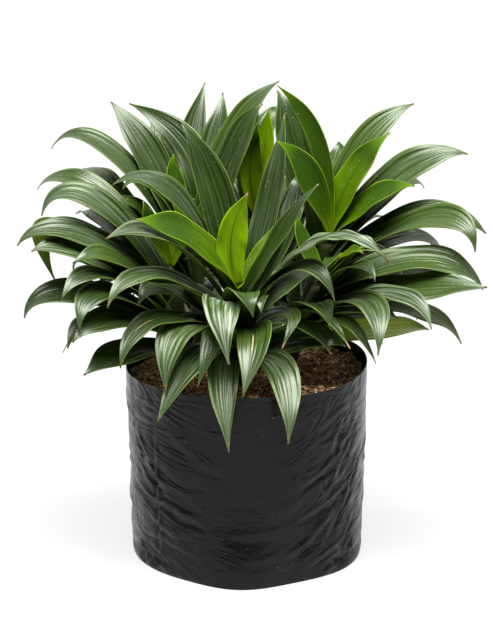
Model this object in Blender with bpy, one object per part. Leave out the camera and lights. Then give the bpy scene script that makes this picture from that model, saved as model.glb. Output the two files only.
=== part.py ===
"""Potted dracaena: seven leafy shoots in a black film grow bag filled with soil.

Lengths are millimetres until a mesh is made. The origin is the centre of the
bag's flat base, Z points up, and the plant is looked at from its front, at -Y.
"""

import math
import random
from typing import NamedTuple

import bmesh
import bpy
from mathutils import Vector
from mathutils.bvhtree import BVHTree

MM = 0.001
GAP = 0.4

# Bag of thin film
BAG_TOP_RADIUS = 100.0
BAG_BASE_RADIUS = 96.5
BAG_HEIGHT = 161.0
FILM = 1.2
BASE_CURVE = 6.0
BASE_TUCK = 1.0
BASE_LOBES = ((267.0, 9.5, 20.0), (326.0, 3.5, 24.0))  # at, out and spread in degrees
BASE_LOBE_RISE = 42.0
RIM_RAISE = 5.0
RIM_RAISE_AT = 30.0
RIM_RAISE_SPREAD = 38.0
RIM_WAVE = 0.7
BAG_OVAL = 1.1
BAG_SAG = 0.7
TUCK_DEPTH = 4.0
TUCK_LEVEL = 10.0
TUCK_RISE = 5.0
TUCKS_AT = (207.0, 328.0)
TUCK_SPREAD = 12.0
BAG_SIDES = 34
BAG_LEVELS = (0.0, 3.0, 10.0, 24.0, 66.0, 142.0)

# Soil
SOIL_TOP = 154.0
SOIL_LUMP = 1.6
SOIL_SMALL_LUMP = 1.0
SOIL_SLOPE = 2.5
SOIL_RINGS = (0.22, 0.45, 0.66, 0.85)
ROOTING_DEPTH = 46.0

# Stems
STEM_SIDES = 8
STEM_FOOT_RADIUS = 7.5
STEM_CROWN_RADIUS = 7.0
ROOT_OUT = 5.2
BUD_RADIUS = 3.0
BUD_HEIGHT = 15.0

# Blades
BLADE_THICKNESS = 1.3
BLADE_STATIONS = (0.0, 0.15, 0.34, 0.55, 0.78, 1.0)
WIDEST_AT = 0.45
ROOT_WIDTH = 0.36
TIP_WIDTH = 0.05
TIP_FULLNESS = 1.5
TIP_PINCH = 0.25
ROOT_FOLD = 0.55
BLADE_FOLD = 0.14
INWARD_FACING = 0.5
CLEARANCE = 0.7
SHARED_ROOT_STATIONS = 2
OTHER_NODE_COST = 20
VIEWPOINT = (0.0, -2000.0, 756.0)
BEND_STEPS = 12
BEND_DEPTH = 4.0
BEND_LIFT = 1.6
BEND_SHORTENING = 0.02
SHARP_ANGLE = 40.0

# Leaves that no list places
FILL_SEED = 7
GOLDEN_SHARE = 0.618034
FILL_SPREAD = 8.0
FILL_LIFT = 12.0
FILL_LOW_LIFT = 26.0
FILL_LIFT_SPREAD = 4.0
FILL_SWAY = 5.0
FILL_WIDTHS = (22.0, 29.0)


class Leaf(NamedTuple):
    """One blade: where it starts below the crown, where it ends and how it arches."""

    drop: float  # how far below the crown it is rooted
    tip: tuple  # where the tip is
    lift: float  # how far its middle stands above the straight line
    sway: float  # how far its middle stands to the right of that line
    width: float  # at its widest
    turn: float  # degrees that its upper face is turned to the front


class Fill(NamedTuple):
    """Leaves spread by the golden share over a sector seen from above."""

    count: int
    start: float  # degrees from +X towards +Y
    sweep: float
    rise: tuple  # the tip above the root, for the highest leaf and the lowest
    reach: tuple  # the tip out from the stem, likewise
    drop: tuple = (10.0, 66.0)


class Shoot(NamedTuple):
    """A stem from its foot at the soil to its crown, and the leaves on it."""

    name: str
    foot: tuple
    crown: tuple
    young: tuple
    mature: tuple
    fill: Fill


SHOOTS = (
    Shoot(
        "front",
        (-4, -28, SOIL_TOP),
        (-8, -40, 232),
        young=(
            Leaf(-7, (2, -42, 315), 2, -9, 25, 50),
            Leaf(-4, (-86, -88, 304), 14, 4, 33, 42),
            Leaf(-5, (37, -12, 294), 0, 0, 15, 40),
        ),
        mature=(
            Leaf(6, (53, -62, 328), 14, -2, 22, 45),
            Leaf(8, (32, -10, 375), 8, 2, 21, 50),
            Leaf(10, (-51, -15, 368), 11, 7, 29, 50),
            Leaf(13, (-108, -45, 324), 42, 3, 29, 20),
            Leaf(15, (-108, -105, 293), 31, -5, 25, 15),
            Leaf(17, (41, 15, 322), 16, 14, 22, 45),
            Leaf(20, (45, 10, 298), 13, 13, 18, 45),
            Leaf(20, (71, -85, 238), 35, 8, 19, 20),
            Leaf(22, (114, -95, 272), 42, 3, 21, 15),
            Leaf(24, (-112, -115, 243), 32, -8, 23, 20),
            Leaf(28, (-96, -90, 254), 17, -2, 22, 10),
            Leaf(30, (-15, -118, 196), 36, -8, 32, 0),
            Leaf(34, (26, -88, 201), 22, 24, 12, 0),
            Leaf(36, (-100, -120, 194), 26, -16, 23, 10),
            Leaf(40, (-3, -130, 172), 29, 10, 29, 0),
            Leaf(44, (-66, -114, 171), 34, -13, 30, 0),
            Leaf(50, (-70, -124, 150), 23, 0, 29, 0),
            Leaf(55, (-13, -128, 126), 27, -9, 26, 0),
            Leaf(57, (33, -124, 132), 25, 12, 26, 0),
            Leaf(58, (80, -62, 196), 12, 2, 29, 45),
            Leaf(34, (62, 16, 236), 14, 0, 24, 20),
            Leaf(46, (46, 18, 196), 12, 0, 24, 20),
            Leaf(44, (-85, -78, 232), 29, -15, 24, 15),
            Leaf(50, (12, -92, 231), 26, 3, 18, 10),
        ),
        fill=Fill(6, 130, 280, (55, 5), (55, 75)),
    ),
    Shoot(
        "right",
        (34, 14, SOIL_TOP),
        (67, 10, 262),
        young=(
            Leaf(-7, (115, 5, 357), 1, -8, 27, 45),
            Leaf(-6, (28, -15, 355), 4, 4, 28, 50),
            Leaf(-5, (134, -25, 322), 7, -1, 26, 40),
            Leaf(-4, (24, 14, 392), 18, 12, 14, 50),
        ),
        mature=(
            Leaf(8, (28, 45, 385), 15, -4, 29, 50),
            Leaf(10, (139, 35, 375), 23, -12, 27, 40),
            Leaf(14, (180, -5, 344), 26, -2, 33, 45),
            Leaf(22, (196, -20, 278), 30, 10, 28, 30),
            Leaf(26, (150, 36, 308), 26, 6, 24, 20),
            Leaf(28, (187, -50, 272), 31, 22, 27, 30),
            Leaf(40, (49, -62, 241), 20, 17, 14, 0),
            Leaf(56, (124, 2, 214), 16, 4, 24, 15),
            Leaf(44, (164, 70, 243), 27, 16, 24, 0),
            Leaf(30, (166, 22, 249), 24, 17, 24, 15),
            Leaf(38, (160, 5, 228), 15, 16, 24, 15),
        ),
        fill=Fill(7, -60, 170, (70, -10), (70, 108), (12, 74)),
    ),
    Shoot(
        "low",
        (26, -12, SOIL_TOP),
        (60, -30, 236),
        young=(
            Leaf(-6, (92, -62, 274), 8, 2, 14, 30),
            Leaf(-5, (40, -20, 292), 2, -3, 14, 40),
        ),
        mature=(
            Leaf(6, (193, -55, 241), 26, 12, 30, 30),
            Leaf(12, (104, -80, 253), 21, 4, 15, 10),
            Leaf(20, (190, -78, 247), 8, 7, 33, 30),
            Leaf(26, (148, -105, 221), 24, 14, 21, 15),
            Leaf(30, (103, -122, 206), 28, 18, 26, 0),
            Leaf(34, (180, -35, 191), 22, 8, 28, 15),
            Leaf(40, (83, -112, 207), 18, -8, 13, 10),
            Leaf(44, (101, -116, 196), 18, 3, 13, 10),
            Leaf(36, (122, -58, 216), 14, 4, 22, 20),
            Leaf(50, (122, -24, 200), 14, 0, 24, 10),
            Leaf(54, (148, -60, 208), 7, 13, 33, -55),
        ),
        fill=Fill(7, -100, 200, (50, 0), (60, 85), (12, 66)),
    ),
    Shoot(
        "left_back",
        (-36, 28, SOIL_TOP),
        (-46, 30, 258),
        young=(
            Leaf(-6, (-62, 44, 330), 4, -4, 16, 45),
            Leaf(-5, (-20, 18, 322), 4, 4, 15, 45),
        ),
        mature=(
            Leaf(4, (26, 60, 390), 17, -8, 24, 40),
            Leaf(4, (-34, 100, 380), 3, -8, 24, 45),
            Leaf(8, (-18, 92, 374), 5, 0, 26, 45),
            Leaf(10, (-115, 70, 369), 13, 4, 29, 45),
            Leaf(12, (-98, 42, 372), 31, 26, 28, 45),
            Leaf(12, (10, 40, 375), 12, 0, 27, 45),
            Leaf(14, (-82, 95, 354), 13, -1, 22, 40),
            Leaf(20, (-168, 60, 334), 46, -3, 26, 20),
            Leaf(30, (-121, 85, 328), 37, -11, 24, -40),
            Leaf(30, (-104, 0, 313), 32, 2, 21, 15),
            Leaf(34, (-108, 30, 296), 20, -5, 24, 10),
            Leaf(42, (-136, 45, 278), 31, -10, 24, 10),
            Leaf(52, (-42, 128, 150), 5, 0, 30, 0),
        ),
        fill=Fill(7, 80, 110, (60, -15), (80, 125), (16, 72)),
    ),
    Shoot(
        "centre",
        (4, 50, SOIL_TOP),
        (7, 62, 270),
        young=(
            Leaf(-7, (10, 35, 356), 4, -6, 21, 50),
            Leaf(-6, (18, 64, 364), 6, 2, 16, 50),
            Leaf(-5, (44, 80, 340), 6, 2, 18, 40),
        ),
        mature=(
            Leaf(4, (11, 78, 370), 10, -7, 19, 45),
            Leaf(6, (28, 92, 362), 20, -6, 20, 45),
        ),
        fill=Fill(11, 30, 160, (88, -25), (56, 122), (8, 76)),
    ),
    Shoot(
        "left",
        (-50, -12, SOIL_TOP),
        (-62, -2, 240),
        young=(
            Leaf(-6, (-84, -14, 302), 4, -3, 16, 45),
            Leaf(-5, (-48, 12, 300), 3, 3, 15, 45),
        ),
        mature=(
            Leaf(6, (-141, 90, 306), 36, -9, 23, 15),
            Leaf(8, (-180, 50, 300), 39, -5, 26, 25),
            Leaf(12, (-172, -5, 291), 44, -8, 28, 30),
            Leaf(16, (-134, 45, 289), 26, -11, 21, 0),
            Leaf(18, (-189, -30, 274), 28, -7, 28, 30),
            Leaf(22, (-142, 60, 276), 29, -11, 21, 10),
            Leaf(26, (-173, -52, 272), 24, -10, 28, 35),
            Leaf(30, (-164, 25, 226), 60, -40, 27, -30),
            Leaf(34, (-137, -65, 264), 25, -5, 22, 25),
            Leaf(40, (-147, -82, 239), 30, -12, 20, 20),
            Leaf(44, (-185, -35, 212), 24, -18, 28, 30),
            Leaf(48, (-134, -92, 218), 31, -17, 26, 20),
            Leaf(52, (-144, -72, 196), 20, -16, 22, 15),
            Leaf(56, (-139, -78, 205), 12, -6, 28, 30),
            Leaf(62, (-128, -84, 177), 7, -7, 27, 30),
            Leaf(46, (-146, 5, 237), 31, -17, 24, 15),
            Leaf(52, (-113, -35, 222), 25, -3, 24, 15),
        ),
        fill=Fill(5, 95, 110, (40, 5), (70, 95), (30, 68)),
    ),
    Shoot(
        "back",
        (34, 52, SOIL_TOP),
        (52, 66, 250),
        young=(
            Leaf(-6, (70, 92, 318), 5, 2, 18, 30),
            Leaf(-5, (36, 96, 312), 5, -2, 17, 30),
        ),
        mature=(
            Leaf(6, (80, 104, 330), 12, 6, 24, 35),
            Leaf(10, (95, 98, 330), 14, 8, 22, 35),
            Leaf(48, (24, 142, 146), 8, 0, 26, 0),
        ),
        fill=Fill(10, 0, 140, (84, -26), (66, 122), (10, 72)),
    ),
)

COLOURS = {
    "film": (0.012, 0.012, 0.014, 0.42),
    "soil": (0.045, 0.022, 0.011, 0.95),
    "mature": (0.045, 0.105, 0.028, 0.42),
    "young": (0.2, 0.42, 0.02, 0.45),
}


def clear_scene():
    for item in list(bpy.data.objects):
        bpy.data.objects.remove(item, do_unlink=True)


def finish(name, kind):
    """A plain material in the part's colour, one for each object."""
    *colour, roughness = COLOURS[kind]
    made = bpy.data.materials.new(name)
    made.use_nodes = True
    shader = made.node_tree.nodes["Principled BSDF"]
    shader.inputs["Base Color"].default_value = (*colour, 1.0)
    shader.inputs["Roughness"].default_value = roughness
    shader.inputs["Metallic"].default_value = 0.0
    made.diffuse_color = (*colour, 1.0)
    return made


def solid(name, kind, points, faces, smooth=True):
    """An object made of a closed list of faces, with its points in millimetres."""
    mesh = bpy.data.meshes.new(name)
    mesh.from_pydata([tuple(Vector(p) * MM) for p in points], [], faces)
    mesh.update()
    if smooth:
        mesh.shade_smooth()
        mesh.set_sharp_from_angle(angle=math.radians(SHARP_ANGLE))
    mesh.materials.append(finish(name, kind))
    made = bpy.data.objects.new(name, mesh)
    bpy.context.scene.collection.objects.link(made)
    return made


def combine(target, operation, others):
    """Joins or cuts a collection of objects in one Boolean, then removes them."""
    group = bpy.data.collections.new(target.name + "_pieces")
    bpy.context.scene.collection.children.link(group)
    for other in others:
        bpy.context.scene.collection.objects.unlink(other)
        group.objects.link(other)
    boolean = target.modifiers.new("combine", "BOOLEAN")
    boolean.operation = operation
    boolean.operand_type = "COLLECTION"
    boolean.collection = group
    boolean.solver = "EXACT"
    bpy.context.view_layer.objects.active = target
    bpy.ops.object.modifier_apply(modifier=boolean.name)
    for other in others:
        bpy.data.objects.remove(other, do_unlink=True)
    bpy.data.collections.remove(group)


def fill_hollows(target):
    """Keeps the outer surface: sealed hollows are filled and loose scrap is dropped."""
    shape = bmesh.new()
    shape.from_mesh(target.data)
    unseen = set(shape.faces)
    islands = []
    while unseen:
        island = [unseen.pop()]
        for face in island:
            for edge in face.edges:
                near = [other for other in edge.link_faces if other in unseen]
                unseen.difference_update(near)
                island.extend(near)
        islands.append(island)
    islands.sort(key=lambda island: sum(face.calc_area() for face in island))
    extra = [face for island in islands[:-1] for face in island]
    bmesh.ops.delete(shape, geom=extra, context="FACES")
    shape.to_mesh(target.data)
    shape.free()


def strip(lower, upper, falling=False):
    """Triangles between two rings that go round the same way.

    Each quad is split along the same rising diagonal, also where the second ring
    is the lower one, so that two nested walls stay the same distance apart.
    """
    faces = []
    count = len(lower)
    for here in range(count):
        there = (here + 1) % count
        if falling:
            faces.append((lower[here], lower[there], upper[here]))
            faces.append((lower[there], upper[there], upper[here]))
        else:
            faces.append((lower[here], lower[there], upper[there]))
            faces.append((lower[here], upper[there], upper[here]))
    return faces


def degrees_between(angle, other):
    return (angle - other + 180.0) % 360.0 - 180.0


def bag_radius(angle, level):
    """The film's outer radius at an angle in degrees and a height."""
    round_by = math.radians(angle)
    share = level / BAG_HEIGHT
    radius = BAG_BASE_RADIUS + (BAG_TOP_RADIUS - BAG_BASE_RADIUS) * share
    radius += BAG_OVAL * math.sin(2 * round_by + 0.6) * (0.4 + 0.6 * share)
    radius += BAG_SAG * math.sin(5 * round_by + 3.0 * share) * math.sin(math.pi * share)
    if level < BASE_CURVE:
        radius -= BASE_TUCK * (1.0 - level / BASE_CURVE) ** 2
    for lobe_at, out, lobe_spread in BASE_LOBES:
        spread = degrees_between(angle, lobe_at) / lobe_spread
        radius += out * math.exp(-spread * spread - (level / BASE_LOBE_RISE) ** 2)
    for tuck in TUCKS_AT:
        spread = degrees_between(angle, tuck) / TUCK_SPREAD
        height = (level - TUCK_LEVEL) / TUCK_RISE
        radius -= TUCK_DEPTH * math.exp(-spread * spread - height * height)
    return radius


def rim_level(angle):
    """The film's top edge, which stands higher at the right of the back."""
    spread = degrees_between(angle, RIM_RAISE_AT) / RIM_RAISE_SPREAD
    raised = math.exp(-(spread**2))
    wave = RIM_WAVE * math.sin(math.radians(3 * angle + 40))
    return BAG_HEIGHT + RIM_RAISE * raised + wave


def ring_of_bag(points, level_of, inset):
    """Adds one ring of the bag's wall and gives its point numbers."""
    first = len(points)
    for side in range(BAG_SIDES):
        angle = 360.0 * side / BAG_SIDES
        level = level_of(angle)
        radius = bag_radius(angle, level) - inset
        turn = math.radians(angle)
        points.append((radius * math.cos(turn), radius * math.sin(turn), level))
    return list(range(first, first + BAG_SIDES))


def build_bag():
    points = []
    outer = [ring_of_bag(points, lambda a, z=z: z, 0.0) for z in BAG_LEVELS]
    outer.append(ring_of_bag(points, rim_level, 0.0))
    inner = [ring_of_bag(points, rim_level, FILM)]
    for level in reversed(BAG_LEVELS[1:]):
        inner.append(ring_of_bag(points, lambda a, z=level: z, FILM))
    faces = [tuple(reversed(outer[0])), tuple(inner[-1])]
    for lower, upper in zip(outer, outer[1:] + inner[:1]):
        faces += strip(lower, upper)
    for upper, lower in zip(inner, inner[1:]):
        faces += strip(upper, lower, falling=True)
    return solid("grow_bag", "film", points, faces)


def soil_level(x, y):
    """The lumpy top of the soil, a little higher at the right and the back."""
    lump = SOIL_LUMP * math.sin(0.11 * x + 0.6) * math.cos(0.09 * y)
    small_lump = SOIL_SMALL_LUMP * math.sin(0.23 * x - 0.17 * y)
    slope = SOIL_SLOPE * (x + 0.5 * y) / BAG_TOP_RADIUS
    return SOIL_TOP + lump + small_lump + slope


def build_soil():
    points = []
    inset = FILM + GAP
    rings = [ring_of_bag(points, lambda a, z=z: z, inset) for z in BAG_LEVELS[1:]]
    for number in rings[0]:
        x, y, level = points[number]
        points[number] = (x, y, level + GAP)
    for share in (1.0,) + tuple(reversed(SOIL_RINGS)):
        first = len(points)
        for side in range(BAG_SIDES):
            turn = 2 * math.pi * side / BAG_SIDES
            radius = (bag_radius(math.degrees(turn), SOIL_TOP) - inset - GAP) * share
            x, y = radius * math.cos(turn), radius * math.sin(turn)
            points.append((x, y, soil_level(x, y)))
        rings.append(list(range(first, first + BAG_SIDES)))
    faces = [tuple(reversed(rings[0]))]
    for lower, upper in zip(rings, rings[1:]):
        faces += strip(lower, upper)
    top = len(points)
    points.append((0.0, 0.0, soil_level(0.0, 0.0)))
    last = rings[-1]
    faces += [(last[i], last[(i + 1) % BAG_SIDES], top) for i in range(BAG_SIDES)]
    return solid("potting_soil", "soil", points, faces)


def axis_point(shoot, level):
    """The point of a shoot's leaning axis at a height."""
    foot, crown = Vector(shoot.foot), Vector(shoot.crown)
    share = (level - foot.z) / (crown.z - foot.z)
    return foot + (crown - foot) * share


def prism(start, end, start_radius, end_radius):
    """Points and faces of a tapered rod with few sides."""
    points = []
    for centre, radius in ((start, start_radius), (end, end_radius)):
        for side in range(STEM_SIDES):
            turn = 2 * math.pi * side / STEM_SIDES
            points.append(centre + Vector((math.cos(turn), math.sin(turn), 0.0)) * radius)
    lower = list(range(STEM_SIDES))
    upper = list(range(STEM_SIDES, 2 * STEM_SIDES))
    faces = [tuple(reversed(lower)), tuple(upper)] + strip(lower, upper)
    return points, faces


def stem_shape(shoot, spare=0.0):
    """The stem from below the soil to its crown, or its hole with spare room."""
    start = axis_point(shoot, SOIL_TOP - ROOTING_DEPTH - spare)
    end = axis_point(shoot, shoot.crown[2])
    return prism(start, end, STEM_FOOT_RADIUS + spare, STEM_CROWN_RADIUS + spare)


def bud_shape(shoot):
    """The short growing tip that the young leaves stand on."""
    start = axis_point(shoot, shoot.crown[2] + GAP)
    return prism(start, start + Vector((0, 0, BUD_HEIGHT)), BUD_RADIUS, 0.5 * BUD_RADIUS)


def outline(along):
    """Half of the blade's width as a share of its widest, from root 0 to tip 1."""
    if along < WIDEST_AT:
        swell = math.sin(0.5 * math.pi * along / WIDEST_AT)
        return ROOT_WIDTH + (1.0 - ROOT_WIDTH) * swell
    past = (along - WIDEST_AT) / (1.0 - WIDEST_AT)
    narrowed = math.cos(0.5 * math.pi * past**TIP_FULLNESS) * (1.0 - TIP_PINCH * past * past)
    return max(narrowed, TIP_WIDTH)


def blade_frames(shoot, leaf):
    """Along the blade: its middle, its side direction and its upper normal."""
    axis = axis_point(shoot, shoot.crown[2] - leaf.drop)
    tip = Vector(leaf.tip)
    start = tip - axis + 4 * Vector((leaf.sway, 0.0, 0.0))
    outward = Vector((start.x, start.y, 0.0)).normalized()
    root = axis + outward * (ROOT_OUT if leaf.drop > 0 else 0.0)
    middle = (root + tip) / 2 + Vector((leaf.sway, 0.0, leaf.lift))
    control = 2 * middle - (root + tip) / 2
    facing = Vector((0, 0, 1)) - INWARD_FACING * outward
    facing += Vector((0, -math.tan(math.radians(leaf.turn)), 0))
    chord = (tip - root).normalized()
    normal_at_middle = (facing - facing.dot(chord) * chord).normalized()
    frames = []
    for along in BLADE_STATIONS:
        left = 1.0 - along
        point = left * left * root + 2 * left * along * control + along * along * tip
        heading = (left * (control - root) + along * (tip - control)).normalized()
        normal = chord.rotation_difference(heading) @ normal_at_middle
        frames.append((point, heading.cross(normal).normalized(), normal.normalized()))
    return frames


def blade_shape(frames, width, thickness, first=0):
    """A folded blade with a thick midrib and thin edges, split alike on both faces."""
    points = []
    for number in range(first, len(frames)):
        along = BLADE_STATIONS[number]
        point, side, normal = frames[number]
        half = 0.5 * width * outline(along)
        fold = half * (BLADE_FOLD + (ROOT_FOLD - BLADE_FOLD) * (1.0 - along) ** 3)
        rib = 0.5 * thickness * (1.0 if along < 1.0 else 0.5)
        points.append(point - side * half + normal * fold)
        points.append(point - normal * rib)
        points.append(point + side * half + normal * fold)
        points.append(point + normal * rib)
    faces = [(0, 1, 3), (1, 2, 3)]
    last = len(points) - 4
    for a in range(0, last, 4):
        for here, there in ((0, 1), (2, 1)):
            faces += blade_quad(a + here, a + there, here == 2)
        for here, there in ((0, 3), (2, 3)):
            faces += blade_quad(a + here, a + there, here == 0)
    faces += [(last, last + 3, last + 1), (last + 1, last + 3, last + 2)]
    return points, faces


def blade_quad(edge, rib, turned):
    """Two triangles between an edge and the midrib, along one span of the blade."""
    halves = [(edge, edge + 4, rib + 4), (edge, rib + 4, rib)]
    return [tuple(reversed(half)) for half in halves] if turned else halves


class Placed(NamedTuple):
    """A piece already in place, as trees that tell where another would cross it."""

    node: str
    whole: BVHTree  # what another node's leaves stay clear of
    free: BVHTree  # what its own node's leaves stay clear of, past their roots


def tree_of(shape):
    return BVHTree.FromPolygons([tuple(p) for p in shape[0]], shape[1])


def crossings(node, leaf, frames, placed):
    """How much a leaf crosses: a little for its own node, a lot for another."""
    grown = BLADE_THICKNESS + 2 * CLEARANCE
    whole = tree_of(blade_shape(frames, leaf.width, grown))
    free = tree_of(blade_shape(frames, leaf.width, grown, SHARED_ROOT_STATIONS))
    cost = 0
    for other in placed:
        if other.node == node:
            cost += 1 if free.overlap(other.free) else 0
        else:
            cost += OTHER_NODE_COST if whole.overlap(other.whole) else 0
    return cost


def bends():
    """Small moves of a leaf, nearest first: towards the viewer, in lift, in length."""
    yield 0.0, 0.0, 1.0
    for step in range(1, BEND_STEPS + 1):
        for depth, lift in ((1, 0), (-1, 0), (0, 1), (0, -1), (1, 1), (-1, -1), (1, -1), (-1, 1)):
            yield BEND_DEPTH * step * depth, BEND_LIFT * step * lift, 1.0
        yield 0.0, 0.0, 1.0 - BEND_SHORTENING * step


def bent_clear(shoot, node, leaf, placed):
    """The leaf, moved until it crosses as little as it can."""
    best = None
    tip = Vector(leaf.tip)
    sight = (Vector(VIEWPOINT) - tip).normalized()
    axis = axis_point(shoot, shoot.crown[2] - leaf.drop)
    for toward, lift, length in bends():
        moved = axis + (tip + sight * toward - axis) * length
        tried = leaf._replace(tip=tuple(moved), lift=leaf.lift + lift)
        frames = blade_frames(shoot, tried)
        cost = crossings(node, tried, frames, placed)
        if best is None or cost < best[0]:
            best = (cost, tried, frames)
        if cost == 0:
            break
    return best


def filling_leaves(shoot, draw):
    """The shoot's leaves that follow the golden share instead of a list."""
    rule = shoot.fill
    for number in range(rule.count):
        share = number / max(rule.count - 1, 1)
        angle = math.radians(rule.start + rule.sweep * ((number + 0.5) * GOLDEN_SHARE % 1.0))
        drop = rule.drop[0] + (rule.drop[1] - rule.drop[0]) * share
        reach = rule.reach[0] + (rule.reach[1] - rule.reach[0]) * share
        reach += draw.uniform(-FILL_SPREAD, FILL_SPREAD)
        rise = rule.rise[0] + (rule.rise[1] - rule.rise[0]) * share
        rise += draw.uniform(-FILL_SPREAD, FILL_SPREAD)
        axis = axis_point(shoot, shoot.crown[2] - drop)
        tip = axis + Vector((reach * math.cos(angle), reach * math.sin(angle), rise))
        lift = FILL_LIFT + FILL_LOW_LIFT * share
        lift += draw.uniform(-FILL_LIFT_SPREAD, FILL_LIFT_SPREAD)
        width = draw.uniform(*FILL_WIDTHS)
        yield Leaf(drop, tuple(tip), lift, draw.uniform(-FILL_SWAY, FILL_SWAY), width, 0.0)


def place_leaves(obstacles):
    """Every leaf of every shoot in its final place, by node name."""
    draw = random.Random(FILL_SEED)
    placed = list(obstacles)
    result = {}
    jobs = []
    for shoot in SHOOTS:
        jobs += [(shoot, "young_" + shoot.name, leaf, True) for leaf in shoot.young]
    for shoot in SHOOTS:
        jobs += [(shoot, "shoot_" + shoot.name, leaf, True) for leaf in shoot.mature]
    for shoot in SHOOTS:
        jobs += [(shoot, "shoot_" + shoot.name, leaf, False) for leaf in filling_leaves(shoot, draw)]
    for shoot, node, leaf, wanted in jobs:
        cost, leaf, frames = bent_clear(shoot, node, leaf, placed)
        if cost >= OTHER_NODE_COST and not wanted:
            continue
        whole = tree_of(blade_shape(frames, leaf.width, BLADE_THICKNESS))
        free = tree_of(blade_shape(frames, leaf.width, BLADE_THICKNESS, SHARED_ROOT_STATIONS))
        placed.append(Placed(node, whole, free))
        result.setdefault(node, []).append((leaf, frames))
    return result


def fused(name, kind, core, leaves):
    """One body: a stem or a bud with its leaves sunk into it."""
    body = solid(name, kind, *core, smooth=False)
    blades = [
        solid(f"{name}_blade_{number}", kind, *blade_shape(frames, leaf.width, BLADE_THICKNESS))
        for number, (leaf, frames) in enumerate(leaves)
    ]
    combine(body, "UNION", blades)
    fill_hollows(body)


def main():
    clear_scene()
    bag = build_bag()
    soil = build_soil()
    obstacles = []
    for item in (bag, soil):
        points = [v.co / MM for v in item.data.vertices]
        tree = tree_of((points, [tuple(p.vertices) for p in item.data.polygons]))
        obstacles.append(Placed(item.name, tree, tree))
    for shoot in SHOOTS:
        stem, bud = tree_of(stem_shape(shoot)), tree_of(bud_shape(shoot))
        obstacles.append(Placed("shoot_" + shoot.name, stem, bud))
        obstacles.append(Placed("young_" + shoot.name, bud, bud))
    leaves = place_leaves(obstacles)
    for shoot in SHOOTS:
        fused("shoot_" + shoot.name, "mature", stem_shape(shoot), leaves["shoot_" + shoot.name])
        fused("young_" + shoot.name, "young", bud_shape(shoot), leaves["young_" + shoot.name])
    holes = [solid("hole_" + s.name, "soil", *stem_shape(s, GAP)) for s in SHOOTS]
    combine(soil, "DIFFERENCE", holes)


main()
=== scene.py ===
"""Looks of the potted dracaena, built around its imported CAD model.

The CAD nodes fix where everything is. Each leafy shoot, each cluster of young
leaves, the soil and the film bag get a finer piece that stands in the same place.
Lengths are millimetres until a mesh is written, and metres in the mesh. X points
right, Y away from the viewer in front, and Z up.
"""

import logging
import math
import random
from dataclasses import dataclass
from enum import Enum
from typing import Any, Callable, Iterable, Iterator, NamedTuple

import bmesh
import bpy
import numpy as np
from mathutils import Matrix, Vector, noise
from mathutils.bvhtree import BVHTree


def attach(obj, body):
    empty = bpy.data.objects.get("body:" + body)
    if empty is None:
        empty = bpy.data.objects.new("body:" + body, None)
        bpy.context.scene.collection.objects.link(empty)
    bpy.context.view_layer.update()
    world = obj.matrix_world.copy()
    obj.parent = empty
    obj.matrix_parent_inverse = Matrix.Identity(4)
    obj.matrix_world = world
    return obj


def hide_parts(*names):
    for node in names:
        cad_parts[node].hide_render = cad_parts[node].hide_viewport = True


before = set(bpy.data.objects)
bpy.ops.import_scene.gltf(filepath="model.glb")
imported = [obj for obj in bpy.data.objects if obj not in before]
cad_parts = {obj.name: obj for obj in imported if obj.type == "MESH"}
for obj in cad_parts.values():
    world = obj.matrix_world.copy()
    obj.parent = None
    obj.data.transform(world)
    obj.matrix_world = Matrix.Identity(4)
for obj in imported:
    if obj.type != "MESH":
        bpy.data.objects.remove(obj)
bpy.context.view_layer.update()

MM = 0.001
BODY = "root"

Colour = tuple[float, float, float]
Point = tuple[float, float, float]


# Growth: the rows and rules that place every leaf


class Leaf(NamedTuple):
    """One blade: where it starts below the crown, where it ends and how it arches."""

    drop: float  # how far below the crown it is rooted
    tip: Point  # where the tip is
    lift: float  # how far its middle stands above the straight line
    sway: float  # how far its middle stands to the right of that line
    width: float  # at its widest
    turn: float  # degrees that its upper face is turned to the front


class Fill(NamedTuple):
    """Leaves spread by the golden share over a sector seen from above."""

    count: int
    start: float  # degrees from +X towards +Y
    sweep: float
    rise: tuple[float, float]  # the tip above the root, highest leaf and lowest
    reach: tuple[float, float]  # the tip out from the stem, likewise
    drop: tuple[float, float] = (10.0, 66.0)


class Shoot(NamedTuple):
    """A stem from its foot at the soil to its crown, and the leaves on it."""

    name: str
    foot: Point
    crown: Point
    young: tuple[Leaf, ...]
    mature: tuple[Leaf, ...]
    fill: Fill


SOIL_TOP = 154.0

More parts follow.
